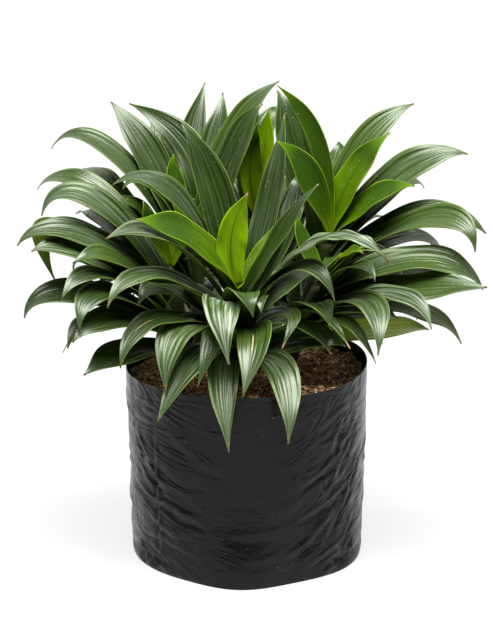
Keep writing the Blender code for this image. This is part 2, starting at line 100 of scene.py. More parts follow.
SHOOTS = (
    Shoot(
        "front",
        (-4, -28, SOIL_TOP),
        (-8, -40, 232),
        young=(
            Leaf(-7, (2, -42, 315), 2, -9, 25, 50),
            Leaf(-4, (-86, -88, 304), 14, 4, 33, 42),
            Leaf(-5, (37, -12, 294), 0, 0, 15, 40),
        ),
        mature=(
            Leaf(6, (53, -62, 328), 14, -2, 22, 45),
            Leaf(8, (32, -10, 375), 8, 2, 21, 50),
            Leaf(10, (-51, -15, 368), 11, 7, 29, 50),
            Leaf(13, (-108, -45, 324), 42, 3, 29, 20),
            Leaf(15, (-108, -105, 293), 31, -5, 25, 15),
            Leaf(17, (41, 15, 322), 16, 14, 22, 45),
            Leaf(20, (45, 10, 298), 13, 13, 18, 45),
            Leaf(20, (71, -85, 238), 35, 8, 19, 20),
            Leaf(22, (114, -95, 272), 42, 3, 21, 15),
            Leaf(24, (-112, -115, 243), 32, -8, 23, 20),
            Leaf(28, (-96, -90, 254), 17, -2, 22, 10),
            Leaf(30, (-15, -118, 196), 36, -8, 32, 0),
            Leaf(34, (26, -88, 201), 22, 24, 12, 0),
            Leaf(36, (-100, -120, 194), 26, -16, 23, 10),
            Leaf(40, (-3, -130, 172), 29, 10, 29, 0),
            Leaf(44, (-66, -114, 171), 34, -13, 30, 0),
            Leaf(50, (-70, -124, 150), 23, 0, 29, 0),
            Leaf(55, (-13, -128, 126), 27, -9, 26, 0),
            Leaf(57, (33, -124, 132), 25, 12, 26, 0),
            Leaf(58, (80, -62, 196), 12, 2, 29, 45),
            Leaf(34, (62, 16, 236), 14, 0, 24, 20),
            Leaf(46, (46, 18, 196), 12, 0, 24, 20),
            Leaf(44, (-85, -78, 232), 29, -15, 24, 15),
            Leaf(50, (12, -92, 231), 26, 3, 18, 10),
        ),
        fill=Fill(6, 130, 280, (55, 5), (55, 75)),
    ),
    Shoot(
        "right",
        (34, 14, SOIL_TOP),
        (67, 10, 262),
        young=(
            Leaf(-7, (115, 5, 357), 1, -8, 27, 45),
            Leaf(-6, (28, -15, 355), 4, 4, 28, 50),
            Leaf(-5, (134, -25, 322), 7, -1, 26, 40),
            Leaf(-4, (24, 14, 392), 18, 12, 14, 50),
        ),
        mature=(
            Leaf(8, (28, 45, 385), 15, -4, 29, 50),
            Leaf(10, (139, 35, 375), 23, -12, 27, 40),
            Leaf(14, (180, -5, 344), 26, -2, 33, 45),
            Leaf(22, (196, -20, 278), 30, 10, 28, 30),
            Leaf(26, (150, 36, 308), 26, 6, 24, 20),
            Leaf(28, (187, -50, 272), 31, 22, 27, 30),
            Leaf(40, (49, -62, 241), 20, 17, 14, 0),
            Leaf(56, (124, 2, 214), 16, 4, 24, 15),
            Leaf(44, (164, 70, 243), 27, 16, 24, 0),
            Leaf(30, (166, 22, 249), 24, 17, 24, 15),
            Leaf(38, (160, 5, 228), 15, 16, 24, 15),
        ),
        fill=Fill(7, -60, 170, (70, -10), (70, 108), (12, 74)),
    ),
    Shoot(
        "low",
        (26, -12, SOIL_TOP),
        (60, -30, 236),
        young=(
            Leaf(-6, (92, -62, 274), 8, 2, 14, 30),
            Leaf(-5, (40, -20, 292), 2, -3, 14, 40),
        ),
        mature=(
            Leaf(6, (193, -55, 241), 26, 12, 30, 30),
            Leaf(12, (104, -80, 253), 21, 4, 15, 10),
            Leaf(20, (190, -78, 247), 8, 7, 33, 30),
            Leaf(26, (148, -105, 221), 24, 14, 21, 15),
            Leaf(30, (103, -122, 206), 28, 18, 26, 0),
            Leaf(34, (180, -35, 191), 22, 8, 28, 15),
            Leaf(40, (83, -112, 207), 18, -8, 13, 10),
            Leaf(44, (101, -116, 196), 18, 3, 13, 10),
            Leaf(36, (122, -58, 216), 14, 4, 22, 20),
            Leaf(50, (122, -24, 200), 14, 0, 24, 10),
            Leaf(54, (148, -60, 208), 7, 13, 33, -55),
        ),
        fill=Fill(7, -100, 200, (50, 0), (60, 85), (12, 66)),
    ),
    Shoot(
        "left_back",
        (-36, 28, SOIL_TOP),
        (-46, 30, 258),
        young=(
            Leaf(-6, (-62, 44, 330), 4, -4, 16, 45),
            Leaf(-5, (-20, 18, 322), 4, 4, 15, 45),
        ),
        mature=(
            Leaf(4, (26, 60, 390), 17, -8, 24, 40),
            Leaf(4, (-34, 100, 380), 3, -8, 24, 45),
            Leaf(8, (-18, 92, 374), 5, 0, 26, 45),
            Leaf(10, (-115, 70, 369), 13, 4, 29, 45),
            Leaf(12, (-98, 42, 372), 31, 26, 28, 45),
            Leaf(12, (10, 40, 375), 12, 0, 27, 45),
            Leaf(14, (-82, 95, 354), 13, -1, 22, 40),
            Leaf(20, (-168, 60, 334), 46, -3, 26, 20),
            Leaf(30, (-121, 85, 328), 37, -11, 24, -40),
            Leaf(30, (-104, 0, 313), 32, 2, 21, 15),
            Leaf(34, (-108, 30, 296), 20, -5, 24, 10),
            Leaf(42, (-136, 45, 278), 31, -10, 24, 10),
            Leaf(52, (-42, 128, 150), 5, 0, 30, 0),
        ),
        fill=Fill(7, 80, 110, (60, -15), (80, 125), (16, 72)),
    ),
    Shoot(
        "centre",
        (4, 50, SOIL_TOP),
        (7, 62, 270),
        young=(
            Leaf(-7, (10, 35, 356), 4, -6, 21, 50),
            Leaf(-6, (18, 64, 364), 6, 2, 16, 50),
            Leaf(-5, (44, 80, 340), 6, 2, 18, 40),
        ),
        mature=(
            Leaf(4, (11, 78, 370), 10, -7, 19, 45),
            Leaf(6, (28, 92, 362), 20, -6, 20, 45),
        ),
        fill=Fill(11, 30, 160, (88, -25), (56, 122), (8, 76)),
    ),
    Shoot(
        "left",
        (-50, -12, SOIL_TOP),
        (-62, -2, 240),
        young=(
            Leaf(-6, (-84, -14, 302), 4, -3, 16, 45),
            Leaf(-5, (-48, 12, 300), 3, 3, 15, 45),
        ),
        mature=(
            Leaf(6, (-141, 90, 306), 36, -9, 23, 15),
            Leaf(8, (-180, 50, 300), 39, -5, 26, 25),
            Leaf(12, (-172, -5, 291), 44, -8, 28, 30),
            Leaf(16, (-134, 45, 289), 26, -11, 21, 0),
            Leaf(18, (-189, -30, 274), 28, -7, 28, 30),
            Leaf(22, (-142, 60, 276), 29, -11, 21, 10),
            Leaf(26, (-173, -52, 272), 24, -10, 28, 35),
            Leaf(30, (-164, 25, 226), 60, -40, 27, -30),
            Leaf(34, (-137, -65, 264), 25, -5, 22, 25),
            Leaf(40, (-147, -82, 239), 30, -12, 20, 20),
            Leaf(44, (-185, -35, 212), 24, -18, 28, 30),
            Leaf(48, (-134, -92, 218), 31, -17, 26, 20),
            Leaf(52, (-144, -72, 196), 20, -16, 22, 15),
            Leaf(56, (-139, -78, 205), 12, -6, 28, 30),
            Leaf(62, (-128, -84, 177), 7, -7, 27, 30),
            Leaf(46, (-146, 5, 237), 31, -17, 24, 15),
            Leaf(52, (-113, -35, 222), 25, -3, 24, 15),
        ),
        fill=Fill(5, 95, 110, (40, 5), (70, 95), (30, 68)),
    ),
    Shoot(
        "back",
        (34, 52, SOIL_TOP),
        (52, 66, 250),
        young=(
            Leaf(-6, (70, 92, 318), 5, 2, 18, 30),
            Leaf(-5, (36, 96, 312), 5, -2, 17, 30),
        ),
        mature=(
            Leaf(6, (80, 104, 330), 12, 6, 24, 35),
            Leaf(10, (95, 98, 330), 14, 8, 22, 35),
            Leaf(48, (24, 142, 146), 8, 0, 26, 0),
        ),
        fill=Fill(10, 0, 140, (84, -26), (66, 122), (10, 72)),
    ),
)


# Marks: what sets single leaves apart, by node and row


class Mark(Enum):
    """What sets one listed leaf apart: (streak, dry tip, pale streaks of waxy bloom and painted
    sheen, crinkle).
    """

    PLAIN = (0.0, 0.15, 0.2, 0.0)
    STREAK = (1.0, 0.2, 0.25, 0.0)
    DRY_TIP = (0.0, 1.0, 0.4, 0.2)
    # The pale marks set how strong the pale streaks are: partly a waxy bloom, partly a painted
    # satin sheen.
    PALE = (0.0, 0.3, 0.8, 0.0)
    BLOOM = (0.0, 0.3, 1.5, 0.0)
    FADED = (0.0, 0.4, 2.4, 0.4)
    CRINKLED = (0.0, 0.5, 2.0, 1.0)


MARKED = {
    Mark.STREAK: {"shoot_front": (13, 14, 19)},
    Mark.DRY_TIP: {"shoot_front": (12,), "shoot_low": (6, 7), "young_front": (0,)},
    Mark.PALE: {
        "shoot_front": (4, 7, 9, 16, 17),
        "shoot_low": (4,),
        "shoot_right": (2,),
        "shoot_left": (2, 4),
    },
    Mark.BLOOM: {"shoot_front": (15, 18), "shoot_low": (3,), "shoot_left": (6,)},
    Mark.FADED: {"shoot_front": (11,)},
    Mark.CRINKLED: {"shoot_front": (8,)},
}
# Tones of single leaves; the front shoot's lowered tones darken its inner leaves as painted shade
# among the others.
LEAF_TONES_AND_SHADE = {
    "young_front": {0: 1.1, 1: -0.1, 2: 0.0},
    "young_right": {0: 0.1, 1: -0.2, 2: -0.2, 3: -0.2},
    "young_left_back": {0: 0.0},
    "young_left": {0: 0.0},
    "young_low": {0: 0.0, 1: 0.0},
    "young_centre": {0: 0.9, 1: 1.0},
    "shoot_front": {0: 0.2, 1: -0.1, 2: 0.1, 3: 0.1, 5: -0.3, 6: -0.3},
    "shoot_left_back": {1: 0.1, 2: 0.1, 3: 0.0, 4: 0.0},
}
RIPENESS = {
    "young_front": {0: -0.2, 1: 0.58, 2: 0.35},
    "young_right": {0: 0.45, 1: 0.75, 2: 0.6, 3: 1.0},
    "young_low": {0: 0.4, 1: 0.7},
    "young_left_back": {0: 0.75, 1: 0.8},
    "young_left": {0: 0.75, 1: 0.8},
    "young_centre": {0: 0.5},
    "shoot_low": {5: 0.35, 10: 1.2},
    "shoot_left": {7: 1.2},
}


def mark_of(node: str, row: int) -> Mark:
    """The mark of a row's leaf: plain unless it is listed."""
    listed = (mark for mark, nodes in MARKED.items() if row in nodes.get(node, ()))
    return next(listed, Mark.PLAIN)


class Kind(Enum):
    """The two colours that leaves have: the node's prefix, its slot, its usual ripeness."""

    MATURE = ("shoot_", "mature_leaf", -1.0)
    YOUNG = ("young_", "young_leaf", 0.1)

    def node(self, shoot: Shoot) -> str:
        """The name of a shoot's node of this kind."""
        return self.value[0] + shoot.name


class Placed(NamedTuple):
    """A piece already in place, as trees that tell where another would cross it."""

    node: str
    whole: BVHTree  # what another node's leaves stay clear of
    free: BVHTree  # what its own node's leaves stay clear of, past their roots


Shape = tuple[list[Vector], list[tuple[int, ...]]]
Station = tuple[Vector, Vector, Vector]  # a point, the side direction, the upper normal


@dataclass(frozen=True)
class Growth:
    """Where every leaf is, by the same rules as the part's source."""

    gap: float = 0.4
    rooting_depth: float = 46.0
    stem_sides: int = 8
    foot_radius: float = 7.5
    crown_radius: float = 7.0
    root_out: float = 5.2
    bud_radius: float = 3.0
    bud_height: float = 15.0
    thickness: float = 1.3
    stations: tuple[float, ...] = (0.0, 0.15, 0.34, 0.55, 0.78, 1.0)
    widest_at: float = 0.45
    root_width: float = 0.36
    tip_width: float = 0.05
    tip_fullness: float = 1.5
    tip_pinch: float = 0.25
    root_fold: float = 0.55
    blade_fold: float = 0.14
    inward_facing: float = 0.5
    sway_share: float = 4.0
    clearance: float = 0.7
    shared_root_stations: int = 2
    other_node_cost: int = 20
    viewpoint: Point = (0.0, -2000.0, 756.0)
    bend_steps: int = 12
    bend_depth: float = 4.0
    bend_lift: float = 1.6
    bend_shortening: float = 0.02
    seed: int = 7
    golden_share: float = 0.618034
    fill_spread: float = 8.0
    fill_lift: float = 12.0
    fill_low_lift: float = 26.0
    fill_lift_spread: float = 4.0
    fill_sway: float = 5.0
    fill_widths: tuple[float, float] = (22.0, 29.0)

    def axis_point(self, shoot: Shoot, level: float) -> Vector:
        """The point of a shoot's leaning axis at a height."""
        foot, crown = Vector(shoot.foot), Vector(shoot.crown)
        share = (level - foot.z) / (crown.z - foot.z)
        return foot + (crown - foot) * share

    def rod(self, start: Vector, end: Vector, start_radius: float, end_radius: float) -> Shape:
        """Points and faces of a tapered rod with few sides.

        Args:
            start: centre of its lower end.
            end: centre of its upper end.
            start_radius: radius of its lower end.
            end_radius: radius of its upper end.

        Returns:
            Its points and its faces.
        """
        count = self.stem_sides
        points = []
        for centre, radius in ((start, start_radius), (end, end_radius)):
            for side in range(count):
                turn = 2 * math.pi * side / count
                points.append(centre + Vector((math.cos(turn), math.sin(turn), 0.0)) * radius)
        faces = [tuple(reversed(range(count))), tuple(range(count, 2 * count))]
        for here in range(count):
            there = (here + 1) % count
            faces.append((here, there, there + count))
            faces.append((here, there + count, here + count))
        return points, faces

    def stem_shape(self, shoot: Shoot) -> Shape:
        """The stem from below the soil to its crown."""
        start = self.axis_point(shoot, SOIL_TOP - self.rooting_depth)
        end = self.axis_point(shoot, shoot.crown[2])
        return self.rod(start, end, self.foot_radius, self.crown_radius)

    def bud_shape(self, shoot: Shoot) -> Shape:
        """The short growing tip that the young leaves stand on."""
        start = self.axis_point(shoot, shoot.crown[2] + self.gap)
        end = start + Vector((0, 0, self.bud_height))
        return self.rod(start, end, self.bud_radius, 0.5 * self.bud_radius)

    def outline(self, along: float) -> float:
        """How wide the blade is along its length.

        Args:
            along: the place, from root 0 to tip 1.

        Returns:
            Half of its width there, as a share of its widest.
        """
        if along < self.widest_at:
            swell = math.sin(0.5 * math.pi * along / self.widest_at)
            return self.root_width + (1.0 - self.root_width) * swell
        past = (along - self.widest_at) / (1.0 - self.widest_at)
        narrowed = math.cos(0.5 * math.pi * past**self.tip_fullness)
        narrowed *= 1.0 - self.tip_pinch * past * past
        return max(narrowed, self.tip_width)

    def fold(self, along: float) -> float:
        """How far the edges stand above the midrib, as a share of the half width."""
        return self.blade_fold + (self.root_fold - self.blade_fold) * (1.0 - along) ** 3

    def stations_of(self, shoot: Shoot, leaf: Leaf, places: Iterable[float]) -> list[Station]:
        """The blade's middle, side direction and upper normal at places along it.

        Args:
            shoot: the shoot that carries the leaf.
            leaf: the leaf.
            places: shares of the length from the root, 0 to 1.

        Returns:
            For each place its point, side direction and upper normal.
        """
        axis = self.axis_point(shoot, shoot.crown[2] - leaf.drop)
        tip = Vector(leaf.tip)
        start = tip - axis + self.sway_share * Vector((leaf.sway, 0.0, 0.0))
        outward = Vector((start.x, start.y, 0.0)).normalized()
        root = axis + outward * (self.root_out if leaf.drop > 0 else 0.0)
        middle = (root + tip) / 2 + Vector((leaf.sway, 0.0, leaf.lift))
        control = 2 * middle - (root + tip) / 2
        facing = Vector((0, 0, 1)) - self.inward_facing * outward
        facing += Vector((0, -math.tan(math.radians(leaf.turn)), 0))
        chord = (tip - root).normalized()
        normal_at_middle = (facing - facing.dot(chord) * chord).normalized()
        found = []
        for along in places:
            left = 1.0 - along
            point = left * left * root + 2 * left * along * control + along * along * tip
            heading = (left * (control - root) + along * (tip - control)).normalized()
            normal = chord.rotation_difference(heading) @ normal_at_middle
            found.append((point, heading.cross(normal).normalized(), normal.normalized()))
        return found

    def plain_blade(
        self, found: list[Station], width: float, thickness: float, first: int = 0
    ) -> Shape:
        """The CAD's folded blade with few sides, to tell where blades would cross.

        Args:
            found: the blade's stations.
            width: its widest width.
            thickness: how thick its midrib is taken to be.
            first: the station that it starts from.

        Returns:
            Its points and its faces.
        """
        points: list[Vector] = []
        for number in range(first, len(found)):
            along = self.stations[number]
            point, side, normal = found[number]
            half = 0.5 * width * self.outline(along)
            fold = half * self.fold(along)
            rib = 0.5 * thickness * (1.0 if along < 1.0 else 0.5)
            points.append(point - side * half + normal * fold)
            points.append(point - normal * rib)
            points.append(point + side * half + normal * fold)
            points.append(point + normal * rib)
        faces: list[tuple[int, ...]] = [(0, 1, 3), (1, 2, 3)]
        last = len(points) - 4
        for a in range(0, last, 4):
            for here, there, turned in ((0, 1, 0), (2, 1, 1), (0, 3, 1), (2, 3, 0)):
                edge, rib_point = a + here, a + there
                for half_quad in (
                    (edge, edge + 4, rib_point + 4),
                    (edge, rib_point + 4, rib_point),
                ):
                    faces.append(tuple(reversed(half_quad)) if turned else half_quad)
        faces += [(last, last + 3, last + 1), (last + 1, last + 3, last + 2)]
        return points, faces

    def crossings(
        self, node: str, leaf: Leaf, found: list[Station], placed: list[Placed]
    ) -> int:
        """How much a leaf crosses: a little for its own node, a lot for another.

        Args:
            node: the leaf's node.
            leaf: the leaf.
            found: its stations.
            placed: what is in place already.

        Returns:
            The cost, 0 where it crosses nothing.
        """
        grown = self.thickness + 2 * self.clearance
        whole = tree_of(self.plain_blade(found, leaf.width, grown))
        free = tree_of(self.plain_blade(found, leaf.width, grown, self.shared_root_stations))
        cost = 0
        for other in placed:
            if other.node == node:
                cost += 1 if free.overlap(other.free) else 0
            else:
                cost += self.other_node_cost if whole.overlap(other.whole) else 0
        return cost

    def bends(self) -> Iterator[tuple[float, float, float]]:
        """Small moves of a leaf, nearest first.

        Returns:
            Millimetres towards the viewer, millimetres of lift, and a share of its length.
        """
        yield 0.0, 0.0, 1.0
        ways = ((1, 0), (-1, 0), (0, 1), (0, -1), (1, 1), (-1, -1), (1, -1), (-1, 1))
        for step in range(1, self.bend_steps + 1):
            for depth, lift in ways:
                yield self.bend_depth * step * depth, self.bend_lift * step * lift, 1.0
            yield 0.0, 0.0, 1.0 - self.bend_shortening * step

    def bent_clear(
        self, shoot: Shoot, node: str, leaf: Leaf, placed: list[Placed]
    ) -> tuple[int, Leaf, list[Station]]:
        """The leaf, moved until it crosses as little as it can.

        Args:
            shoot: the shoot that carries it.
            node: its node.
            leaf: the leaf as listed.
            placed: what is in place already.

        Returns:
            The cost that is left, the leaf as moved, and its stations.
        """
        best: tuple[int, Leaf, list[Station]] | None = None
        tip = Vector(leaf.tip)
        sight = (Vector(self.viewpoint) - tip).normalized()
        axis = self.axis_point(shoot, shoot.crown[2] - leaf.drop)
        for toward, lift, length in self.bends():
            moved = axis + (tip + sight * toward - axis) * length
            tried = leaf._replace(tip=tuple(moved), lift=leaf.lift + lift)
            found = self.stations_of(shoot, tried, self.stations)
            cost = self.crossings(node, tried, found, placed)
            if best is None or cost < best[0]:
                best = (cost, tried, found)
            if cost == 0:
                break
        return best

    def filling_leaves(self, shoot: Shoot, draw: random.Random) -> Iterator[Leaf]:
        """The shoot's leaves that follow the golden share instead of a list.

        Args:
            shoot: the shoot.
            draw: the source of their small differences.

        Returns:
            The leaves, highest first.
        """
        rule = shoot.fill
        for number in range(rule.count):
            share = number / max(rule.count - 1, 1)
            turn = rule.sweep * ((number + 0.5) * self.golden_share % 1.0)
            angle = math.radians(rule.start + turn)
            drop = rule.drop[0] + (rule.drop[1] - rule.drop[0]) * share
            reach = rule.reach[0] + (rule.reach[1] - rule.reach[0]) * share
            reach += draw.uniform(-self.fill_spread, self.fill_spread)
            rise = rule.rise[0] + (rule.rise[1] - rule.rise[0]) * share
            rise += draw.uniform(-self.fill_spread, self.fill_spread)
            axis = self.axis_point(shoot, shoot.crown[2] - drop)
            tip = axis + Vector((reach * math.cos(angle), reach * math.sin(angle), rise))
            lift = self.fill_lift + self.fill_low_lift * share
            lift += draw.uniform(-self.fill_lift_spread, self.fill_lift_spread)
            width = draw.uniform(*self.fill_widths)
            sway = draw.uniform(-self.fill_sway, self.fill_sway)
            yield Leaf(drop, tuple(tip), lift, sway, width, 0.0)

    def place(self, obstacles: list[Placed]) -> dict[str, list[tuple[Shoot, Leaf, int]]]:
        """Every leaf of every shoot in its final place.

        Args:
            obstacles: the bag and the soil.

        Returns:
            By node name, each leaf with its shoot and its row's number, or -1
            where no row lists it.
        """
        draw = random.Random(self.seed)
        placed = list(obstacles)
        for shoot in SHOOTS:
            stem, bud = tree_of(self.stem_shape(shoot)), tree_of(self.bud_shape(shoot))
            placed.append(Placed(Kind.MATURE.node(shoot), stem, bud))
            placed.append(Placed(Kind.YOUNG.node(shoot), bud, bud))
        jobs = [
            (shoot, kind, leaf, row)
            for kind in (Kind.YOUNG, Kind.MATURE)
            for shoot in SHOOTS
            for row, leaf in enumerate(shoot.young if kind is Kind.YOUNG else shoot.mature)
        ]
        jobs += [
            (shoot, Kind.MATURE, leaf, -1)
            for shoot in SHOOTS
            for leaf in self.filling_leaves(shoot, draw)
        ]
        result: dict[str, list[tuple[Shoot, Leaf, int]]] = {}
        for shoot, kind, leaf, row in jobs:
            node = kind.node(shoot)
            cost, leaf, found = self.bent_clear(shoot, node, leaf, placed)
            if cost >= self.other_node_cost and row < 0:
                continue
            whole = tree_of(self.plain_blade(found, leaf.width, self.thickness))
            free = tree_of(
                self.plain_blade(found, leaf.width, self.thickness, self.shared_root_stations)
            )
            placed.append(Placed(node, whole, free))
            result.setdefault(node, []).append((shoot, leaf, row))
        return result


def tree_of(shape: Shape) -> BVHTree:
    """A tree of a shape's faces, for telling where shapes cross."""
    return BVHTree.FromPolygons([tuple(point) for point in shape[0]], shape[1])


def node_tree_of(name: str) -> Placed:
    """A CAD node as an obstacle, in millimetres.

    Args:
        name: the node's name.

    Returns:
        The node with its tree.
    """
    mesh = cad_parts[name].data
    points = [vertex.co / MM for vertex in mesh.vertices]
    tree = tree_of((points, [tuple(face.vertices) for face in mesh.polygons]))
    return Placed(name, tree, tree)


# Modelling helpers


def deselect_all() -> None:
    """Leaves nothing selected, with Blender out of edit mode."""
    if bpy.context.object and bpy.context.object.mode != "OBJECT":
        bpy.ops.object.mode_set(mode="OBJECT")
    bpy.ops.object.select_all(action="DESELECT")


def pick(piece: bpy.types.Object) -> None:
    """Selects one piece alone and makes it the active one."""
    deselect_all()
    piece.select_set(True)
    bpy.context.view_layer.objects.active = piece


def named(name: str) -> bpy.types.Object:
    """Names the piece that an operator has just made."""
    piece = bpy.context.active_object
    piece.name = piece.data.name = name
    return piece


def linked(name: str, data: Any) -> bpy.types.Object:
    """A new object of some data, in the scene."""
    made = bpy.data.objects.new(name, data)
    bpy.context.scene.collection.objects.link(made)
    return made


def unit_cylinder(
    name: str, sides: int, middle: float = 0.5, fill: str = "NGON"
) -> bpy.types.Object:
    """An upright cylinder whose radius and height are 1.

    Args:
        name: its name.
        sides: how many sides it has.
        middle: the height of its middle.
        fill: how its ends are filled.

    Returns:
        The cylinder.
    """
    deselect_all()
    bpy.ops.mesh.primitive_cylinder_add(
        vertices=sides, radius=1.0, depth=1.0, location=(0, 0, middle), end_fill_type=fill
    )
    piece = named(name)
    bpy.ops.object.transform_apply(location=True, rotation=True, scale=True)
    return piece


def select_points(test: Callable[[Vector], bool]) -> bool:
    """Selects the points in edit mode whose place passes a test.

    Args:
        test: takes a point's place.

    Returns:
        Whether any point is selected.
    """
    shape = bmesh.from_edit_mesh(bpy.context.edit_object.data)
    shape.select_mode = {"VERT"}
    for vertex in shape.verts:
        vertex.select_set(bool(test(vertex.co)))
    shape.select_flush_mode()
    bmesh.update_edit_mesh(bpy.context.edit_object.data)
    return any(vertex.select for vertex in shape.verts)


def select_faces(test: Callable[[Vector], bool]) -> None:
    """Selects the faces in edit mode whose normal passes a test.

    Args:
        test: takes a face's normal.
    """
    bpy.ops.mesh.select_mode(type="FACE")
    shape = bmesh.from_edit_mesh(bpy.context.edit_object.data)
    for face in shape.faces:
        face.select_set(bool(test(face.normal)))
    bmesh.update_edit_mesh(bpy.context.edit_object.data)


def cut_upright_edges(cuts: int) -> None:
    """Cuts the edges in edit mode that run from the bottom to the top.

    Args:
        cuts: how many cuts each gets.
    """
    bpy.ops.mesh.select_mode(type="EDGE")
    shape = bmesh.from_edit_mesh(bpy.context.edit_object.data)
    for edge in shape.edges:
        first, second = (vertex.co.z for vertex in edge.verts)
        edge.select_set(abs(first - second) > 0.5)
    bmesh.update_edit_mesh(bpy.context.edit_object.data)
    bpy.ops.mesh.subdivide(number_cuts=cuts)


def places_of(mesh: bpy.types.Mesh) -> np.ndarray:
    """A mesh's points as rows of three numbers."""
    places = np.zeros(len(mesh.vertices) * 3)
    mesh.vertices.foreach_get("co", places)
    return places.reshape(-1, 3)


def set_places(mesh: bpy.types.Mesh, places: np.ndarray) -> None:
    """Moves a mesh's points to rows of three numbers."""
    mesh.vertices.foreach_set("co", np.ascontiguousarray(places, dtype=np.float32).ravel())
    mesh.update()


def to_polar(places: np.ndarray) -> tuple[np.ndarray, np.ndarray]:
    """The points' directions, in degrees from +X towards +Y, and distances from the axis."""
    x, y = places[:, 0], places[:, 1]
    return np.degrees(np.arctan2(y, x)) % 360.0, np.hypot(x, y)


def from_polar(angle: np.ndarray, away: np.ndarray, level: np.ndarray) -> np.ndarray:
    """Points by their directions in degrees, distances from the axis and heights."""
    turn = np.radians(angle)
    return np.stack([away * np.cos(turn), away * np.sin(turn), level], axis=1)


def turn_about(axis: int, angle: float) -> np.ndarray:
    """A rotation about one axis.

    Args:
        axis: 0, 1 or 2 for X, Y or Z.
        angle: in radians.

    Returns:
        Its matrix.
    """
    first, second = (number for number in range(3) if number != axis)
    made = np.eye(3)
    made[first, first] = made[second, second] = math.cos(angle)
    made[first, second], made[second, first] = -math.sin(angle), math.sin(angle)
    return made


def set_value(mesh: bpy.types.Mesh, name: str, values: np.ndarray | float) -> None:
    """Gives each point of a mesh a number that its material reads."""
    made = mesh.attributes.get(name) or mesh.attributes.new(name, "FLOAT", "POINT")
    filled = np.broadcast_to(np.asarray(values, dtype=np.float32), (len(mesh.vertices),))
    made.data.foreach_set("value", np.ascontiguousarray(filled))


def apply_modifier(piece: bpy.types.Object, kind: str, **settings: Any) -> None:
    """Adds a modifier to a piece and applies it.

    Args:
        piece: the piece.
        kind: the modifier's type.
        settings: its settings by name.
    """
    pick(piece)
    modifier = piece.modifiers.new(kind.lower(), kind)
    for name, value in settings.items():
        setattr(modifier, name, value)
    bpy.ops.object.modifier_apply(modifier=modifier.name)


def joined(name: str, parts: list[bpy.types.Object]) -> bpy.types.Object:
    """Joins parts into one piece.

    Args:
        name: the piece's name.
        parts: what is joined.

    Returns:
        The piece.
    """
    pick(parts[0])
    for part in parts:
        part.select_set(True)
    bpy.ops.object.join()
    return named(name)


def scattered(
    name: str, master: bpy.types.Object, copies: list[np.ndarray], tones: list[float]
) -> bpy.types.Object:
    """One piece that holds many copies of a small master, which goes.

    Args:
        name: the piece's name.
        master: what is copied.
        copies: for each copy its points, in millimetres.
        tones: for each copy its tone.

    Returns:
        The piece.
    """
    faces = [tuple(face.vertices) for face in master.data.polygons]
    count = len(master.data.vertices)
    all_faces = [
        tuple(corner + count * number for corner in face)
        for number in range(len(copies))
        for face in faces
    ]
    mesh = bpy.data.meshes.new(name)
    mesh.from_pydata((np.vstack(copies) * MM).tolist(), [], all_faces)
    mesh.update()
    set_value(mesh, "tone", np.repeat(np.array(tones), count))
    bpy.data.objects.remove(master, do_unlink=True)
    return linked(name, mesh)


# Shader helpers and the effects that finishes share


